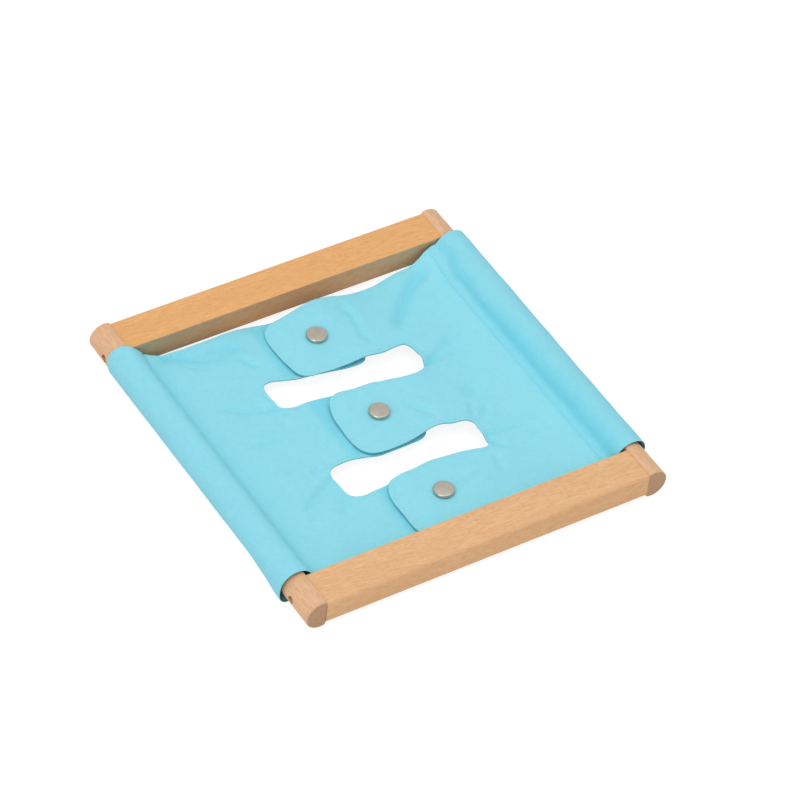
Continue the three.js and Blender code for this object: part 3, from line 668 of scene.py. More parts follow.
class Cloth:
    """A flat cut of canvas as a mesh of triangles, laid out as the flap hangs."""

    def __init__(self, side):
        canvas = bpy.context.scene.dressing_frame_canvas
        self.side = side
        outline = flat_outline(side)
        holes = stud_holes(side)
        self.loops = [outline] + holes
        points = []
        edges = []
        for loop in self.loops:
            for distance in (0, *EDGE_RINGS):
                start = len(points)
                points.extend(loop + inward(loop) * distance)
                edges.extend((start + k, start + (k + 1) % len(loop)) for k in range(len(loop)))
        for distance in HEM_RINGS:
            more, keep = stitch_edge(outline, self.loops, distance)
            points.extend(more[keep][:: 1 if distance < HEM_RINGS[-1] else 2])
        if side > 0:
            start = len(points)
            line = np.arange(-130, 131, 2.0)
            points.extend(np.stack([np.full(len(line), SEAM_X - CUT_X), line], axis=1))
            edges.extend((start + k, start + k + 1) for k in range(len(line) - 1))
        step = canvas.mesh_step / MM
        row_step = step * 0.87
        left, front = outline.min(axis=0)
        right, rear = outline.max(axis=0)
        rows = []
        for row, y in enumerate(np.arange(front, rear, row_step)):
            x = np.arange(left + (row % 2) * step / 2, right, step)
            rows.append(np.stack([x, np.full(len(x), y)], axis=1))
        grid = np.concatenate(rows)
        grid = grid[inside(grid, self.loops)]
        apart = (from_loop(grid, outline) > GRID_GAPS[0]) & (from_loops(grid, holes) > GRID_GAPS[1])
        if side > 0:
            apart &= np.abs(grid[:, 0] - (SEAM_X - CUT_X)) > GRID_GAPS[2]
        points.extend(grid[apart])
        result = delaunay_2d_cdt([Vector(point) for point in points], edges, [], 0, 1e-5)
        self.flat = np.array([tuple(point) for point in result[0]])
        faces = np.array([list(face) for face in result[2]])
        middle = self.flat[faces].mean(axis=1)
        self.edge = from_loops(self.flat, self.loops)
        self.rim = self.edge < 1e-3
        self.faces = faces[inside(middle, self.loops) & ~self.rim[faces].all(axis=1)]
        across, y = self.flat[:, 0], self.flat[:, 1]
        middle = cloth_middle(side, across, y)
        normal = cloth_normal(side, across, y)
        half = half_thickness(self.edge, across < 1)[:, None]
        self.top = middle + normal * half
        self.bottom = middle - normal * half
        self.top[self.rim] = self.bottom[self.rim] = middle[self.rim]
        # Painted shade: the creases' and rails' from hollow, and along the edges, deepest on the rim itself
        edge_shade, rim_shade = 0.6, 1.5
        self.hollow = np.maximum(hollow(side, across, y), edge_shade * ramp((0.7 - self.edge) / 0.5))
        self.hollow[self.rim] = rim_shade
        self.top_normal, self.bottom_normal = self.normals()

    def flat_area(self, faces):
        """Area of some of the triangles on the flat, in square metres."""
        a, b, c = (self.flat[faces[:, k]] for k in range(3))
        run, rise = b - a, c - a
        return abs(run[:, 0] * rise[:, 1] - run[:, 1] * rise[:, 0]).sum() / 2 * MM * MM

    def normals(self):
        """Smooth directions out of the top and bottom of the whole cloth."""
        order = self.faces if self.side < 0 else self.faces[:, ::-1]
        total = []
        for layer, corners in ((self.top, order), (self.bottom, order[:, ::-1])):
            a, b, c = (layer[corners[:, k]] for k in range(3))
            facing = np.cross(b - a, c - a)
            sums = np.zeros_like(layer)
            for k in range(3):
                np.add.at(sums, corners[:, k], facing)
            total.append(sums)
        both = total[0] + total[1]
        for sums in total:
            sums[self.rim] = both[self.rim]
            sums /= np.maximum(np.linalg.norm(sums, axis=1), 1e-12)[:, None]
        return total

    def shell(self, name, chosen, body, material):
        """A closed mesh of some of the triangles."""
        faces = self.faces[chosen]
        used = np.unique(faces)
        count = len(used)
        top_index = np.full(len(self.flat), -1)
        top_index[used] = np.arange(count)
        below = used[~self.rim[used]]
        bottom_index = top_index.copy()
        bottom_index[below] = count + np.arange(len(below))
        points = np.concatenate([self.top[used], self.bottom[below]])
        order = faces if self.side < 0 else faces[:, ::-1]
        behind = order[:, ::-1]
        polygons = top_index[order].tolist() + bottom_index[behind].tolist()
        normals = [*self.top_normal[order].reshape(-1, 3).tolist(),
                   *self.bottom_normal[behind].reshape(-1, 3).tolist()]
        edges = dict.fromkeys((face[k], face[(k + 1) % 3]) for face in order.tolist() for k in range(3))
        walls = []
        for start, end in edges:
            if (end, start) in edges or (self.rim[start] and self.rim[end]):
                continue
            wall = [top_index[end], top_index[start], bottom_index[start], bottom_index[end]]
            walls.append(list(dict.fromkeys(int(corner) for corner in wall)))
        piece = make_mesh(name, points, polygons + walls, body, material)
        mesh = piece.data
        if len(mesh.polygons) != len(polygons) + len(walls):
            raise RuntimeError(f"{name} lost faces")
        edge_marks = set()
        for polygon in list(mesh.polygons)[len(polygons):]:
            normals += [tuple(polygon.normal)] * len(polygon.vertices)
            edge_marks.update(polygon.edge_keys)
        sharp = [tuple(sorted(edge.vertices)) in edge_marks for edge in mesh.edges]
        marks = mesh.attributes.get("sharp_edge") or mesh.attributes.new("sharp_edge", "BOOLEAN", "EDGE")
        marks.data.foreach_set("value", sharp)
        mesh.normals_split_custom_set(normals)
        place = mesh.attributes.new("cloth_place", "FLOAT_VECTOR", "POINT")
        flat = np.concatenate([self.flat[used], self.flat[below]]) * MM
        layer = np.concatenate([np.zeros(count), np.full(len(below), LAYER_GAP)])
        place.data.foreach_set("vector", np.column_stack([flat, layer]).astype(np.float32).ravel())
        # Painted shade for the material: the top face's as worked out, and over the whole underside, deepest
        # near an edge
        depth = mesh.attributes.new("cloth_hollow", "FLOAT", "POINT")
        under = 1 + ramp((2.2 - self.edge[below]) / 1.2)
        depth.data.foreach_set("value", np.concatenate([self.hollow[used], under]).astype(np.float32))
        return piece


# Where the tabs part from each other, along the right flap
TAB_BORDERS = (35, -50)


def tab_name_at(y):
    """Which tab a place along the right flap belongs to."""
    if y > TAB_BORDERS[0]:
        return "rear"
    return "middle" if y > TAB_BORDERS[1] else "front"


def blend_tab(piece):
    """Bakes a piece's place into its mesh."""
    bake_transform(piece)


# Materials


def fill_inputs(tree, node, values):
    """Gives a node its input values and its links."""
    for key, value in values.items():
        if isinstance(value, bpy.types.NodeSocket):
            tree.links.new(value, node.inputs[key])
        else:
            node.inputs[key].default_value = value


def add_node(tree, kind, values=None, **settings):
    """A node with its settings, its input values and its links."""
    node = tree.nodes.new(kind)
    for key, value in settings.items():
        setattr(node, key, value)
    fill_inputs(tree, node, values or {})
    return node


def calculate(tree, operation, *values):
    """Output of a math node."""
    return add_node(tree, "ShaderNodeMath", dict(enumerate(values)), operation=operation).outputs[0]


def times(tree, first, second):
    """Output of a product."""
    return calculate(tree, "MULTIPLY", first, second)


def mix_colour(tree, share, first, second, blend="MIX"):
    """Output of a colour mix."""
    values = {0: share}
    for index, value in ((6, first), (7, second)):
        values[index] = value if isinstance(value, bpy.types.NodeSocket) else (*value, 1)
    return add_node(tree, "ShaderNodeMix", values, data_type="RGBA", blend_type=blend).outputs[2]


def mapped(tree, place, **values):
    """Output of a mapping."""
    return add_node(tree, "ShaderNodeMapping", {"Vector": place, **values}).outputs[0]


def noise(tree, place, scale, detail=2.0, roughness=0.5, stretch=(1, 1, 1)):
    """Output of a noise texture, stretched along its axes."""
    values = {"Vector": mapped(tree, place, Scale=stretch), "Scale": scale, "Detail": detail,
              "Roughness": roughness}
    return add_node(tree, "ShaderNodeTexNoise", values).outputs[0]


def parts_of(tree, vector):
    """Outputs of a vector's three parts."""
    return add_node(tree, "ShaderNodeSeparateXYZ", {0: vector}).outputs


def spread(tree, value, low_in, high_in, low_out=0.0, high_out=1.0):
    """Output of a clamped map range."""
    values = {"Value": value, 1: low_in, 2: high_in, 3: low_out, 4: high_out}
    return add_node(tree, "ShaderNodeMapRange", values, clamp=True).outputs[0]


def layered(tree, base, layers, blend="MIX"):
    """Mixes colours over a base: each has a value, the map range that makes it a share, and a colour."""
    for value, limits, colour in layers:
        share = spread(tree, value, *limits) if limits else value
        base = mix_colour(tree, share, base, colour, blend)
    return base


def tinted(colour, *factors):
    """A colour times one factor, or times one for each of its three parts."""
    return tuple(min(value * factor, 1) for value, factor in zip(colour, factors * (3 // len(factors))))


def empty_tree(owner):
    """The emptied node tree of a material or a world."""
    owner.use_nodes = True
    owner.node_tree.nodes.clear()
    return owner.node_tree


def start_material(name):
    """A material with one shader, its tree and the outputs of its texture coordinates."""
    material = bpy.data.materials.new(name)
    tree = empty_tree(material)
    shader = add_node(tree, "ShaderNodeBsdfPrincipled")
    add_node(tree, "ShaderNodeOutputMaterial", {0: shader.outputs[0]})
    return material, tree, shader, add_node(tree, "ShaderNodeTexCoord").outputs


def finish_shader(tree, shader, base, rough, height, strength, distance, **values):
    """Gives a shader its colour, its roughness, a bump of some strength and height, and its other values."""
    bump = add_node(tree, "ShaderNodeBump", {"Strength": strength, "Distance": distance, "Height": height})
    fill_inputs(tree, shader, {"Base Color": base, "Roughness": rough, "Normal": bump.outputs[0]})
    fill_inputs(tree, shader, {key.replace("_", " "): value for key, value in values.items()})


def painted_front_light(tree, coordinates, base):
    """Paints light and shade onto the faces of the wood that face the front, as a tint by their facing:
    greyer, most so at the ends and along the top.
    """
    facing = parts_of(tree, coordinates["Normal"])[1]
    x, _, z = parts_of(tree, coordinates["Object"])
    tone = mix_colour(tree, spread(tree, x, -0.12, -0.04), (0.69, 0.99, 1.46), (0.93, 0.9, 1.04))
    tone = mix_colour(tree, spread(tree, x, 0.02, 0.1), tone, (0.9, 1.12, 1.6))
    level = mix_colour(tree, spread(tree, z, 0.006, 0.021), (1.1, 1.12, 1.14), (0.87, 0.89, 0.96))
    tone = mix_colour(tree, 1.0, tone, level, "MULTIPLY")
    return mix_colour(tree, spread(tree, facing, -0.6, -0.95), base, tone, "MULTIPLY")


def beech_material(name, colour, grain_axis, offset, slant=0.0, paint_front_light=False):
    """Sanded beech: wavy growth bands and fibres, fine streaks and the short dark flecks along its grain."""
    wood = bpy.context.scene.dressing_frame_wood
    material, tree, shader, coordinates = start_material(name)

    def along(lengthwise, crosswise):
        return tuple(lengthwise if axis == grain_axis else crosswise for axis in range(3))

    straight = mapped(tree, coordinates["Object"], Location=offset, Rotation=(0, 0, slant))
    stretched = mapped(tree, straight, Scale=along(14, 30))
    sway = add_node(tree, "ShaderNodeTexNoise", {"Vector": stretched, "Scale": 1.0, "Detail": 2.0})
    place = add_node(tree, "ShaderNodeVectorMath", operation="MULTIPLY_ADD", values={
        0: sway.outputs["Color"], 1: along(0.0, 0.006), 2: straight}).outputs[0]

    bands = noise(tree, place, 1, 2.0, 0.55, along(4, 110))
    streaks = noise(tree, place, 1, 3.0, 0.66, along(110, 980))
    fibres = noise(tree, place, 1, 3.0, 0.6, along(90, 1300))
    cloud = noise(tree, place, 1, 2.0, 0.5, along(18, 70))
    fleck = add_node(tree, "ShaderNodeTexVoronoi", {
        "Vector": mapped(tree, place, Scale=along(0.42 / wood.fleck, 1000)), "Scale": 1.0, "Randomness": 1.0})
    near = spread(tree, fleck.outputs["Distance"], 0.45, 0.2)
    chosen = add_node(tree, "ShaderNodeSeparateColor", {0: fleck.outputs["Color"]}).outputs[0]
    dash = times(tree, near, spread(tree, chosen, 0.35, 0.95))
    base = layered(tree, tinted(colour, 0.95, 0.93, 0.88), (
        (bands, (0.32, 0.68), tinted(colour, 1.04, 1.04, 1.06)),
        (cloud, (0.35, 0.75, 0, 0.4), tinted(colour, 0.96, 0.9, 0.86)),
        (streaks, (0.4, 0.62, 0, 0.75), tinted(colour, 0.87, 0.75, 0.62)),
        (fibres, (0.42, 0.7, 0, 0.35), tinted(colour, 0.86, 0.78, 0.68)),
        (times(tree, dash, 0.36), None, tinted(colour, 0.6, 0.47, 0.36))))

    end_grain = layered(tree, tinted(colour, 0.54, 0.49, 0.46), (
        (noise(tree, place, 1300, 2.0, 0.6), (0.35, 0.65), tinted(colour, 0.7, 0.66, 0.61)),
        (noise(tree, place, 240, 2.0, 0.6), (0.35, 0.7, 0, 0.6), tinted(colour, 0.66, 0.58, 0.52))))
    facing = calculate(tree, "ABSOLUTE", parts_of(tree, coordinates["Normal"])[grain_axis])
    base = mix_colour(tree, spread(tree, facing, 0.6, 0.95), base, end_grain)
    # Painted light and shade on the faces that face the front
    if paint_front_light:
        base = painted_front_light(tree, coordinates, base)
    rough = spread(tree, streaks, 0.3, 0.7, wood.roughness - 0.05, wood.roughness + 0.09)
    height = calculate(tree, "ADD", fibres, times(tree, dash, -0.6))
    finish_shader(tree, shader, base, rough, height, 0.22, 0.00012, Specular_IOR_Level=0.28)
    return material


def canvas_material(name, colour):
    """Plain-woven cotton canvas: threads over and under, thick and thin places, soft uneven dye.

    It has painted light on the panel beside a seam, painted shade and darker ribs round the rail, and painted
    shade in the creases, along the edges and underneath, where the mesh marks it.
    """
    canvas = bpy.context.scene.dressing_frame_canvas
    material, tree, shader, _ = start_material(name)
    place = add_node(tree, "ShaderNodeAttribute", attribute_name="cloth_place").outputs["Vector"]
    # Share of painted shade, carried by the mesh
    depth = add_node(tree, "ShaderNodeAttribute", attribute_name="cloth_hollow").outputs["Fac"]
    across, along, _ = parts_of(tree, place)
    wander = noise(tree, place, 55, 1.0)

    def waves(distance, pitch):
        return calculate(tree, "SINE", times(tree, distance, 2 * math.pi / pitch))

    warp, weft = (
        waves(calculate(tree, "ADD", distance, times(tree, wander, shift)), canvas.weave)
        for distance, shift in ((across, 0.0012), (along, -0.0012)))
    threads = times(tree, warp, weft)
    slubs = calculate(tree, "ADD", noise(tree, place, 1, 2.0, 0.5, (1500, 110, 1)),
                      noise(tree, place, 1, 2.0, 0.5, (110, 1500, 1)))
    dye = noise(tree, place, 34, 3.0, 0.6)
    cloud = noise(tree, place, 150, 2.0, 0.6)
    mottle = noise(tree, place, 420, 2.0, 0.6)
    # Darker ribs across the sleeve, strongest where shade is painted on it, and on its outer side
    ribbed_share = times(tree, depth, calculate(tree, "LESS_THAN", across, -0.004))
    ribbed_share = calculate(tree, "MAXIMUM", ribbed_share, spread(tree, across, -0.024, -0.032, 0, 0.35))
    ribs = times(tree, spread(tree, waves(along, 0.0027), -1, 1), ribbed_share)
    beside = times(tree, spread(tree, across, 0.0005, 0.002), spread(tree, across, 0.038, 0.004))

    base = layered(tree, tinted(colour, 0.975), (
        (dye, (0.3, 0.7), tinted(colour, 1.045)),
        (cloud, (0.35, 0.65, 0, 0.7), tinted(colour, 0.9, 0.97, 0.98)),
        (mottle, (0.35, 0.65, 0, 0.6), tinted(colour, 0.87, 0.95, 0.96)),
        (slubs, (0.95, 1.25, 0, 0.4), tinted(colour, 1.12, 1.05, 1.04)),
        (threads, (-1, 1, 0, 0.3), tinted(colour, 0.82, 0.9, 0.92))))
    base = layered(tree, base, (
        # Painted shade on the sleeve round the rail
        (across, (-0.014, -0.03), (0.95, 0.95, 0.96)),
        # Painted light on the panel beside the seam
        (beside, None, (1.05, 1.04, 1.033)),
        # Painted shade where the mesh marks it: creases, tongues under the tabs, beside the rails and along
        # the edges
        (depth, (0, 1), (0.78, 0.965, 0.975)),
        # Deeper painted shade on the rim and the underside
        (depth, (1, 2), (0.42, 0.6, 0.64)),
        (ribs, None, (0.9, 0.965, 0.975))), "MULTIPLY")
    height = calculate(tree, "ADD", times(tree, threads, -0.5), times(tree, slubs, 0.9))
    rough = spread(tree, slubs, 0.8, 1.2, 0.93, 0.84)
    finish_shader(tree, shader, base, rough, height, 0.5, 0.00016, Specular_IOR_Level=0.2,
                  Sheen_Weight=0.12, Sheen_Roughness=0.5)
    return material


def thread_material(name, colour):
    """Twisted cotton sewing thread."""
    material, tree, shader, coordinates = start_material(name)
    twist = noise(tree, coordinates["Object"], 2600, 1.0)
    base = mix_colour(tree, spread(tree, twist, 0.35, 0.65), tinted(colour, 0.86), tinted(colour, 1.06))
    finish_shader(tree, shader, base, 0.75, twist, 0.4, 0.0001)
    return material


def metal_material(name, colour, roughness, streak):
    """Plated metal with fine marks, small stains, and upright sides that shine more than its flat faces."""
    material, tree, shader, coordinates = start_material(name)
    fine = noise(tree, coordinates["Object"], streak, 3.0, 0.6)
    stain = noise(tree, coordinates["Object"], 260, 3.0, 0.6)
    base = mix_colour(tree, spread(tree, stain, 0.35, 0.75), tinted(colour, 1.04),
                      tinted(colour, 0.84, 0.82, 0.78))
    rough = calculate(tree, "ADD", spread(tree, fine, 0.3, 0.7, roughness - 0.06, roughness + 0.08),
                      spread(tree, stain, 0.4, 0.8, 0, 0.12))
    upward = calculate(tree, "ABSOLUTE", parts_of(tree, coordinates["Normal"])[2])
    rough = times(tree, rough, spread(tree, upward, 0.8, 0.97, 0.5, 1))
    finish_shader(tree, shader, base, rough, fine, 0.2, 0.00003, Metallic=1.0)
    return material


# Woodwork


def dress_node(name, material, angle=35):
    """Gives a frame node its material, and shades its rounded edges smooth."""
    node = frame["nodes"][name]
    mesh = node.data
    mesh.materials.clear()
    mesh.materials.append(material)
    points = np.empty(len(mesh.vertices) * 3, np.float32)
    mesh.vertices.foreach_get("co", points)
    microns = np.round(points.reshape(-1, 3) * 1e6).astype(np.int64)
    keys = np.unique(microns, axis=0, return_inverse=True)[1].ravel()
    corners = np.empty(len(mesh.loops), np.int32)
    mesh.loops.foreach_get("vertex_index", corners)
    places = keys[corners]
    faces = np.repeat(np.arange(len(mesh.polygons)), [len(face.vertices) for face in mesh.polygons])
    facing = np.array([tuple(face.normal) for face in mesh.polygons])
    weight = np.array([face.area for face in mesh.polygons])
    meeting = {}
    for corner, place in enumerate(places):
        meeting.setdefault(int(place), []).append(int(faces[corner]))
    limit = math.cos(math.radians(angle))
    normals = []
    for corner, place in enumerate(places):
        own = facing[faces[corner]]
        around = list(set(meeting[int(place)]))
        close = [face for face in around if facing[face] @ own > limit]
        total = (facing[close] * weight[close, None]).sum(axis=0)
        normals.append(tuple(total / max(np.linalg.norm(total), 1e-12)))
    mesh.shade_smooth()
    mesh.normals_split_custom_set(normals)


class DRESSINGFRAME_OT_woodwork(bpy.types.Operator):
    """Give the rails, crossbars and dowel pins their beech"""
    bl_idname = "dressing_frame.woodwork"
    bl_label = "Woodwork"

    def execute(self, context):
        wood = context.scene.dressing_frame_wood
        for name, *look in (
            ("left rail", wood.rail, 1, (0.31, 0.07, 0.2)),
            ("right rail", wood.rail, 1, (0.83, 0.4, 0.6)),
            # The rear crossbar gets painted light and shade on its faces that face the front
            ("rear crossbar", wood.rear_bar, 0, (0.12, 0.9, 0.35), 0.05, True),
            ("front crossbar", wood.front_bar, 0, (0.66, 0.21, 0.5), 0.07),
        ):
            dress_node(name.replace(" ", "_"), beech_material(f"{name} beech", *look))
        pin = beech_material("dowel beech", tinted(wood.rail, 0.95), 0, (0.5, 0.5, 0.1))
        for end in ("front", "rear"):
            for side in ("left", "right"):
                dress_node(f"{end}_{side}_dowel", pin)
        return {"FINISHED"}


# Turned pieces


def add_ring(points, radius, level, count):
    """Adds a ring of points about the upright axis, or one point on it, and gives their numbers."""
    start = len(points)
    for k in range(count if radius > 1e-6 else 1):
        angle = 2 * math.pi * k / count
        x, y = radius * math.cos(angle), radius * math.sin(angle)
        points.append((x, y, level(x, y) if callable(level) else level))
    return list(range(start, len(points)))


def skin(rings):
    """Faces between rings of point numbers, where a ring may be one point, from the lowest up."""
    faces = []
    for lower, upper in zip(rings, rings[1:]):
        count = max(len(lower), len(upper))
        for k in range(count):
            following = (k + 1) % count
            if len(lower) == 1:
                faces.append((lower[0], upper[following], upper[k]))
            elif len(upper) == 1:
                faces.append((lower[k], lower[following], upper[0]))
            else:
                faces.append((lower[k], lower[following], upper[following], upper[k]))
    return faces


def turned(profile, count):
    """Points and faces of a closed turned piece, from (radius, height) pairs, about its upright axis."""
    points = []
    rings = [add_ring(points, radius, height, count) for radius, height in profile]
    return np.array(points, float), skin(rings)


def arc(centre, radius, start, end, steps):
    """Points of a profile on an arc, with angles in degrees."""
    turns = np.radians(np.linspace(start, end, steps))
    return [(centre[0] + radius * math.cos(turn), centre[1] + radius * math.sin(turn)) for turn in turns]


# Profiles of the press studs' parts, in millimetres from the middle of the canvas: half its thickness is SEAT
SEAT = 0.6
CUP_DEPTH = 3.0
CUP_WALL = 0.5


def cap_profile():
    """Flat-domed cap with a rolled side and a hollow post, from its underside up."""
    profile = [(0, -0.3), (1.25, -0.3), (1.25, -1.55), (2.35, -1.55)]
    profile += arc((2.35, -1.4), 0.15, -90, 90, 5)
    profile += [(1.8, -1.2), (1.8, SEAT), (7.0, SEAT)]
    profile += [(7.15 + out, SEAT + 1.45 + 1.55 * rise) for out, rise in arc((0, 0), 0.9, -78, 76, 18)]
    profile += [(radius, SEAT + 3.0 - 0.16 * (radius / 7) ** 2) for radius in np.linspace(7.0, 0, 12)]
    return profile


def socket_profile():
    """Pressed cup with a rolled mouth, from the top of its middle hole outwards."""
    top = -SEAT
    bottom = top - CUP_DEPTH
    profile = [(2.1, top), (2.1, top - CUP_WALL), (5.3, top - CUP_WALL), (5.4, top - 0.6),
               (5.4, bottom + 0.6), (5.3, bottom + CUP_WALL), (3.6, bottom + CUP_WALL)]
    profile += arc((3.6, bottom + 0.25), 0.25, 90, 270, 6)
    profile += arc((5.4, bottom + 0.5), 0.5, -90, 0, 6)
    profile += [(5.9, top - 0.3), (5.8, top - 0.08), (5.6, top), (2.1, top)]
    return profile


def stud_profile():
    """Hollow stud with a waist under its rounded head and a pressed ring round its flange."""
    flange = SEAT + 0.5
    top = flange + 1.9
    profile = [(0, top - 0.35), (1.4, top - 0.35), (1.9, top - 0.7), (1.98, SEAT + 0.3), (2.2, SEAT),
               (5.3, SEAT)]
    profile += arc((5.35, SEAT + 0.25), 0.25, -70, 90, 6)
    profile += [(4.6, flange), (4.3, SEAT + 0.42), (3.9, flange), (2.9, SEAT + 0.52)]
    profile += arc((2.75, SEAT + 0.9), 0.4, 250, 190, 5)
    profile += arc((1.7, top - 0.9), 0.9, 0, 90, 8)
    profile += [(0, top)]
    return profile


def back_profile():
    """Flat back with a rounded edge and a barrel that holds the stud."""
    profile = [(1.2, -SEAT - 0.6), (4.9, -SEAT - 0.6)]
    profile += arc((5.1, -SEAT - 0.3), 0.3, -90, 90, 8)
    profile += [(1.75, -SEAT), (1.75, 2.0), (1.2, 2.0), (1.2, -SEAT - 0.6)]
    return profile


def spring_shape():
    """Open ring of spring wire with bent-in ends, a little above the cup's mouth."""
    wire = 0.33
    height = -SEAT - CUP_DEPTH + CUP_WALL + wire + 0.1
    gap = 18
    path = []
    for angle in np.linspace(gap, 360 - gap, 60):
        radius = 3.45 + 2 * wire - 0.35 * swell(angle, gap, 7) - 0.35 * swell(angle, 360 - gap, 7)
        turn = math.radians(angle)
        path.append((radius * math.cos(turn), radius * math.sin(turn), height))
    return tube(np.array(path), wire, 12)


def tube(path, radius, count):
    """Points and faces of a round bar along a path, with rounded ends."""
    ahead = np.gradient(path, axis=0)
    ahead /= np.linalg.norm(ahead, axis=1)[:, None]
    up = np.array([0.0, 0.0, 1.0])
    turns = [2 * math.pi * k / count for k in range(count)]
    points = []
    rings = []
    stations = [(path[0] - ahead[0] * radius * 0.8, ahead[0], 0.5)]
    stations += [(place, along, 1.0) for place, along in zip(path, ahead)]
    stations += [(path[-1] + ahead[-1] * radius * 0.8, ahead[-1], 0.5)]
    for place, along, share in stations:
        sideways = np.cross(along, up)
        sideways /= max(np.linalg.norm(sideways), 1e-9)
        above = np.cross(sideways, along)
        rings.append(list(range(len(points), len(points) + count)))
        points += [place + radius * share * (math.cos(turn) * sideways + math.sin(turn) * above)
                   for turn in turns]
    return np.array(points), [*skin(rings[::-1]), tuple(rings[0]), tuple(rings[-1][::-1])]


def fastener(name, shape, place, body, material, node, angle=40):
    """A small metal piece that stands for a frame node."""
    points, faces = shape
    piece = make_mesh(name, points + np.array(place), faces, body, material)
    piece.data.set_sharp_from_angle(angle=math.radians(angle))
    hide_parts(node)
    return piece


# Pieces of a press stud: name, outline, points round it, whether it is on the tab, and slot
STUD_PIECES = (
    ("cap", cap_profile, 64, True, "stud_nickel"),
    ("socket", socket_profile, 48, True, "stud_nickel"),
    ("spring", None, 0, True, "spring_steel"),
    ("stud", stud_profile, 48, False, "stud_nickel"),
    ("back", back_profile, 48, False, "stud_nickel"),
)


class DRESSINGFRAME_OT_press_studs(bpy.types.Operator):
    """Make the caps, sockets, springs, studs and backs"""
    bl_idname = "dressing_frame.press_studs"
    bl_label = "Press studs"

    def execute(self, context):
        metal = context.scene.dressing_frame_metal
        materials = {
            "stud_nickel": metal_material("satin nickel", metal.nickel, metal.roughness, 2400),
            "spring_steel": metal_material("spring wire", metal.spring, 0.25, 3000),
        }
        for name, y in STUD_PLACES.items():
            for part, profile, count, on_tab, slot in STUD_PIECES:
                shape = turned(profile(), count) if profile else spring_shape()
                place = (0, y, TAB_Z if on_tab else TONGUE_Z)
                body = f"{name}_tab_end" if on_tab else "left_flap"
                fastener(f"{name}_{part}", shape, place, body, materials[slot], f"{name}_snap_{part}")
        return {"FINISHED"}


# Screws


def cross_recess(x, y):
    """Height of a screw's head at a place on it, with its cross recess."""
    arm = 0.42
    reach = 1.85
    depth = 1.3
    best = 0.0
    for a, b in ((x, y), (y, x)):
        across = float(ramp((arm - abs(a)) / 0.12 + 0.5))
        along = float(ramp((reach - abs(b)) / 0.25 + 0.5))
        best = max(best, across * along)
    return -depth * best * (1 - 0.35 * math.hypot(x, y) / reach)


def screw_shape():
    """A countersunk screw with a cross recess: head at the top, pointed thread below, about its axis."""
    count = 48
    points = []
    rings = [add_ring(points, radius, cross_recess, count)
             for radius in (0.0, 0.35, 0.55, 0.8, 1.1, 1.4, 1.7, 1.9, 2.1, 2.5, 2.7)]
    side = [(2.8, -0.12), (2.78, -0.4), (1.7, -2.1), (1.45, -2.6)]
    height = -3.0
    pitch = 1.1
    while height > -25:
        side += [(1.55, height), (1.15, height - 0.35), (1.15, height - 0.75)]
        height -= pitch
    side += [(0.6, -28), (0.05, -30)]
    rings += [add_ring(points, radius, level, count) for radius, level in side]
    # These rings run from the top down, so each face is turned over
    faces = [face[:1] + face[:0:-1] for face in skin(rings)]
    return np.array(points, float), [*faces, tuple(reversed(rings[-1]))]


class DRESSINGFRAME_OT_screws(bpy.types.Operator):
    """Make the four countersunk screws in the rails"""
    bl_idname = "dressing_frame.screws"
    bl_label = "Screws"

    def execute(self, context):
        metal = context.scene.dressing_frame_metal
        zinc = metal_material("zinc plate", metal.screw, 0.32, 2000)
        points, faces = screw_shape()
        for end in ("front", "rear"):
            for side, sign in (("left", -1), ("right", 1)):
                node = f"{end}_{side}_screw"
                lo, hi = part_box(node)
                head = hi[0] if sign > 0 else lo[0]
                place = np.array([head, (lo[1] + hi[1]) / 2, (lo[2] + hi[2]) / 2]) / MM
                turned_points = np.column_stack([points[:, 2] * sign, points[:, 0], points[:, 1] * sign])
                shape = (turned_points, faces)
                fastener(f"{end}_{side}_countersunk", shape, place, "frame", zinc, node, 35)
        return {"FINISHED"}


# Canvas


CLOTHS = {}


def lay_cloth(side, name):
    """A flap's cloth, kept for its stitches, the place of each triangle on the flat, and its material."""
    canvas = bpy.context.scene.dressing_frame_canvas
    material = bpy.data.materials.get("sky blue canvas") or canvas_material("sky blue canvas", canvas.colour)
    cloth = CLOTHS[name] = Cloth(side)
    return cloth, cloth.flat[cloth.faces].mean(axis=1), material


def declare_cloth(cloth, chosen):
    """Works out the flat area that a piece of canvas was cut to, and keeps nothing of it."""
    float(cloth.flat_area(cloth.faces[chosen]))


class DRESSINGFRAME_OT_left_flap(bpy.types.Operator):
    """Make the left flap: its sleeve, panel and three tongues in one piece of canvas"""
    bl_idname = "dressing_frame.left_flap"
    bl_label = "Left flap"

    def execute(self, context):
        cloth, middle, material = lay_cloth(-1, "left")
        everything = np.ones(len(middle), bool)
        piece = cloth.shell("left_flap_canvas", everything, "left_flap", material)
        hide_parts("left_sleeve", "left_panel")
        declare_cloth(cloth, everything)
        return {"FINISHED"}


class DRESSINGFRAME_OT_right_flap(bpy.types.Operator):
    """Make the right flap: its sleeve and panel, and its three tabs as pieces of their own"""
    bl_idname = "dressing_frame.right_flap"
    bl_label = "Right flap and tabs"

    def execute(self, context):
        cloth, middle, material = lay_cloth(1, "right")
        beyond = middle[:, 0] > SEAM_X - CUT_X
        piece = cloth.shell("right_flap_canvas", ~beyond, "right_flap", material)
        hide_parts("right_sleeve", "right_panel")
        declare_cloth(cloth, ~beyond)
        owner = np.array([tab_name_at(y) for y in middle[:, 1]])
        for name in STUD_PLACES:
            chosen = beyond & (owner == name)
            tab = cloth.shell(f"{name}_tab_canvas", chosen, None, material)
            blend_tab(tab)
            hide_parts(f"{name}_tab")
            declare_cloth(cloth, chosen)
        return {"FINISHED"}


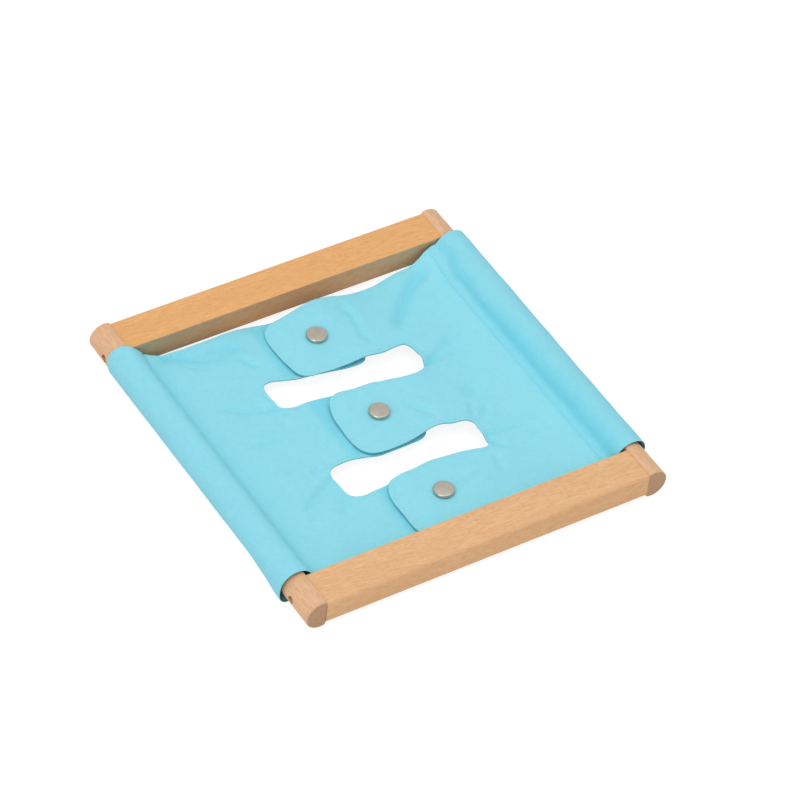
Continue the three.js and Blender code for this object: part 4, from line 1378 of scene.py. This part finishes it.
def stitch_places(cloth, distance, pitch):
    """Middles and directions of the stitches along a cloth's hems, on the flat."""
    middles = []
    directions = []
    points, keep = stitch_edge(cloth.loops[0], cloth.loops, distance)
    keep &= points[:, 0] > 3
    run = []
    start = int(np.argmin(keep))
    for index in (np.arange(len(points) + 1) + start) % len(points):
        if keep[index]:
            run.append(points[index])
            continue
        if len(run) > 4:
            line = np.array(run)
            along = travelled(line)
            places = np.arange(pitch / 2, along[-1], pitch)
            middles.append(at_places(places, along, line))
            direction = at_places(places + 0.3, along, line) - at_places(places - 0.3, along, line)
            directions.append(direction / np.linalg.norm(direction, axis=1)[:, None])
        run = []
    return np.concatenate(middles), np.concatenate(directions)


# A stitch: the half width of its thread, places along half its length, and how far its middle line is above
# the canvas there, which it goes into at both ends
THREAD_RADIUS = 0.2
STITCH_SHARES = np.array([-1.0, -0.55, 0.0, 0.55, 1.0])
STITCH_LIFT = np.array([-0.22, 0.06, 0.12, 0.06, -0.22])


def sew(name, cloth, middles, directions, body, material):
    """Stitches on both faces of the canvas, as small rounded bars. Without a body, they are attached to
    nothing.
    """
    canvas = bpy.context.scene.dressing_frame_canvas
    half_length = canvas.stitch_length / MM / 2
    runs = directions[:, None] * half_length * STITCH_SHARES[None, :, None]
    flat = (middles[:, None] + runs).reshape(-1, 2)
    across, along = flat[:, 0], flat[:, 1]
    place = cloth_middle(cloth.side, across, along)
    normal = cloth_normal(cloth.side, across, along)
    depth = half_thickness(from_loops(flat, cloth.loops), across < 1)
    points = []
    faces = []
    for face_side in (1, -1):
        out = face_side * (depth + np.tile(STITCH_LIFT, len(middles)))
        for line in (place + normal * out[:, None]).reshape(len(middles), len(STITCH_SHARES), 3):
            more, more_faces = tube(line, THREAD_RADIUS, 6)
            start = len(points)
            points.extend(more)
            faces.extend(tuple(start + corner for corner in face) for face in more_faces)
    return make_mesh(name, points, faces, body, material)


class DRESSINGFRAME_OT_stitching(bpy.types.Operator):
    """Sew the hems of both flaps and of the tabs, and the seams beside the rails"""
    bl_idname = "dressing_frame.stitching"
    bl_label = "Stitching"

    def execute(self, context):
        canvas = context.scene.dressing_frame_canvas
        thread = thread_material("cotton thread", canvas.thread)
        tab_thread = thread_material("tab thread", canvas.tab_thread)
        pitch = canvas.stitch_pitch / MM
        distance = canvas.hem_width / MM
        seam_y = np.arange(-SLEEVE_END + 2, SLEEVE_END - 3, pitch)
        seam = np.stack([np.full(len(seam_y), 1.6), seam_y], axis=1)
        for name, seam_end in (("left", SLEEVE_END), ("right", SLEEVE_END - 7)):
            cloth = CLOTHS[name]
            middles, directions = stitch_places(cloth, distance, pitch)
            beyond = (middles[:, 0] > SEAM_X - CUT_X) & (cloth.side > 0)
            beside = seam[seam[:, 1] < seam_end]
            sew(f"{name}_flap_stitches", cloth, np.concatenate([middles[~beyond], beside]),
                np.concatenate([directions[~beyond], np.tile([0.0, 1.0], (len(beside), 1))]),
                f"{name}_flap", thread)
        # The right flap was the last, and the rest of its stitches are on its tabs
        owner = np.array([tab_name_at(y) for y in middles[:, 1]])
        for name in STUD_PLACES:
            chosen = beyond & (owner == name)
            blend_tab(sew(f"{name}_tab_stitches", cloth, middles[chosen], directions[chosen], None,
                          tab_thread))
        return {"FINISHED"}


# Stage


# The floor's half width in metres, and how it looks to the camera: a faint matt colour and a glow
FLOOR_REACH = 6.0
SEEN_FLOOR = 0.25
SEEN_GLOW = 0.86

# Each lamp: its setting, its place and its size in metres
LAMPS = {
    "main lamp": ("key", (0.1, 0.5, 3.2), 2.4),
    "side lamp": ("fill", (-2.0, -1.0, 1.3), 1.6),
}

# What the camera looks at, in metres from the middle of the frame's foot: across its view and up its view,
# and straight up from the floor
AIM = (0.0187, 0.0147)
AIM_HEIGHT = 0.00125


def area_lamp(name, place, size, power):
    """A large soft lamp that faces the middle of the frame."""
    lamp = bpy.data.lights.new(name, "AREA")
    lamp.shape = "SQUARE"
    lamp.size = size
    lamp.energy = power
    holder = bpy.data.objects.new(name, lamp)
    holder.location = place
    holder.rotation_euler = (-Vector(place)).to_track_quat("-Z", "Y").to_euler()
    bpy.context.collection.objects.link(holder)


def seen_apart(tree, output, kinds, plain, seen):
    """Ends a tree with one shader for some kinds of rays and a plain one for all others."""
    rays = add_node(tree, "ShaderNodeLightPath").outputs
    share = rays[kinds[0]]
    for kind in kinds[1:]:
        share = calculate(tree, "MAXIMUM", share, rays[kind])
    both = add_node(tree, "ShaderNodeMixShader", {0: share, 1: plain.outputs[0], 2: seen.outputs[0]})
    add_node(tree, output, {0: both.outputs[0]})


def lay_floor(colour):
    """A wide pale floor that looks evenly bright, and takes shadows and gives light as a matt one."""
    mesh = bpy.data.meshes.new("floor")
    corners = [(-FLOOR_REACH, -FLOOR_REACH, 0), (FLOOR_REACH, -FLOOR_REACH, 0),
               (FLOOR_REACH, FLOOR_REACH, 0), (-FLOOR_REACH, FLOOR_REACH, 0)]
    mesh.from_pydata(corners, [], [(0, 1, 2, 3)])
    floor = bpy.data.objects.new("floor", mesh)
    bpy.context.collection.objects.link(floor)
    material = bpy.data.materials.new("pale floor")
    tree = empty_tree(material)
    matt = add_node(tree, "ShaderNodeBsdfDiffuse", {"Color": (*colour, 1)})
    faint = add_node(tree, "ShaderNodeBsdfDiffuse", {"Color": (SEEN_FLOOR, SEEN_FLOOR, SEEN_FLOOR, 1)})
    glow = add_node(tree, "ShaderNodeEmission", {"Color": (1, 1, 1, 1), "Strength": SEEN_GLOW})
    bright = add_node(tree, "ShaderNodeAddShader", {0: faint.outputs[0], 1: glow.outputs[0]})
    kinds = ("Is Camera Ray", "Is Glossy Ray", "Is Transmission Ray")
    seen_apart(tree, "ShaderNodeOutputMaterial", kinds, matt, bright)
    mesh.materials.append(material)


def fill_world(strength):
    """Even light from all sides, with a white background behind the floor."""
    world = bpy.data.worlds.new("studio")
    bpy.context.scene.world = world
    tree = empty_tree(world)
    even = add_node(tree, "ShaderNodeBackground", {"Color": (1, 1, 1, 1), "Strength": strength})
    white = add_node(tree, "ShaderNodeBackground", {"Color": (1, 1, 1, 1), "Strength": 1.0})
    seen_apart(tree, "ShaderNodeOutputWorld", ("Is Camera Ray", "Is Transmission Ray"), even, white)


def place_camera(stage):
    """The camera, turned about the upright axis, then tipped down and rolled."""
    level = math.cos(stage.pitch)
    back = Vector((math.sin(stage.yaw) * level, -math.cos(stage.yaw) * level, math.sin(stage.pitch)))
    right = Vector((0, 0, 1)).cross(back).normalized()
    up = back.cross(right)
    sin_roll, cos_roll = math.sin(stage.roll), math.cos(stage.roll)
    right, up = cos_roll * right + sin_roll * up, cos_roll * up - sin_roll * right
    camera = bpy.data.cameras.new("camera")
    camera.sensor_width = 36
    camera.lens = stage.lens
    camera.clip_end = 50
    holder = bpy.data.objects.new("camera", camera)
    place = AIM[0] * right + AIM[1] * up + stage.distance * back + Vector((0, 0, AIM_HEIGHT))
    turn = Matrix((right, up, back)).transposed().to_4x4()
    holder.matrix_world = Matrix.Translation(place) @ turn
    bpy.context.collection.objects.link(holder)
    bpy.context.scene.camera = holder


class DRESSINGFRAME_OT_stage(bpy.types.Operator):
    """Set up the floor, the soft light and the camera"""
    bl_idname = "dressing_frame.stage"
    bl_label = "Stage"

    def execute(self, context):
        stage = context.scene.dressing_frame_stage
        lay_floor(stage.floor)
        fill_world(stage.sky)
        for name, (setting, place, size) in LAMPS.items():
            area_lamp(name, place, size, getattr(stage, setting))
        context.scene.view_settings.view_transform = "Standard"
        place_camera(stage)
        return {"FINISHED"}


# Panel and registration

STEPS = (
    DRESSINGFRAME_OT_woodwork,
    DRESSINGFRAME_OT_screws,
    DRESSINGFRAME_OT_left_flap,
    DRESSINGFRAME_OT_right_flap,
    DRESSINGFRAME_OT_stitching,
    DRESSINGFRAME_OT_press_studs,
    DRESSINGFRAME_OT_stage,
)
SETTINGS = {
    "dressing_frame_wood": DressingFrameWood,
    "dressing_frame_canvas": DressingFrameCanvas,
    "dressing_frame_metal": DressingFrameMetal,
    "dressing_frame_stage": DressingFrameStage,
}


class DRESSINGFRAME_PT_sidebar(bpy.types.Panel):
    """Lists the pieces and their settings in the sidebar"""
    bl_idname = "DRESSINGFRAME_PT_sidebar"
    bl_label = "Dressing frame"
    bl_space_type = "VIEW_3D"
    bl_region_type = "UI"
    bl_category = "Dressing frame"

    def draw(self, context):
        for step in STEPS:
            self.layout.operator(step.bl_idname)
        for name, group in SETTINGS.items():
            box = self.layout.box()
            settings = getattr(context.scene, name)
            for key in group.__annotations__:
                box.prop(settings, key)


def register():
    for name, group in SETTINGS.items():
        bpy.utils.register_class(group)
        setattr(bpy.types.Scene, name, bpy.props.PointerProperty(type=group))
    for step in STEPS:
        bpy.utils.register_class(step)
    bpy.utils.register_class(DRESSINGFRAME_PT_sidebar)


def unregister():
    bpy.utils.unregister_class(DRESSINGFRAME_PT_sidebar)
    for step in reversed(STEPS):
        bpy.utils.unregister_class(step)
    for name, group in SETTINGS.items():
        delattr(bpy.types.Scene, name)
        bpy.utils.unregister_class(group)


def main():
    register()
    bpy.ops.dressing_frame.woodwork()
    bpy.ops.dressing_frame.screws()
    bpy.ops.dressing_frame.left_flap()
    bpy.ops.dressing_frame.right_flap()
    bpy.ops.dressing_frame.stitching()
    bpy.ops.dressing_frame.press_studs()
    bpy.ops.dressing_frame.stage()


if __name__ == "__main__":
    main()
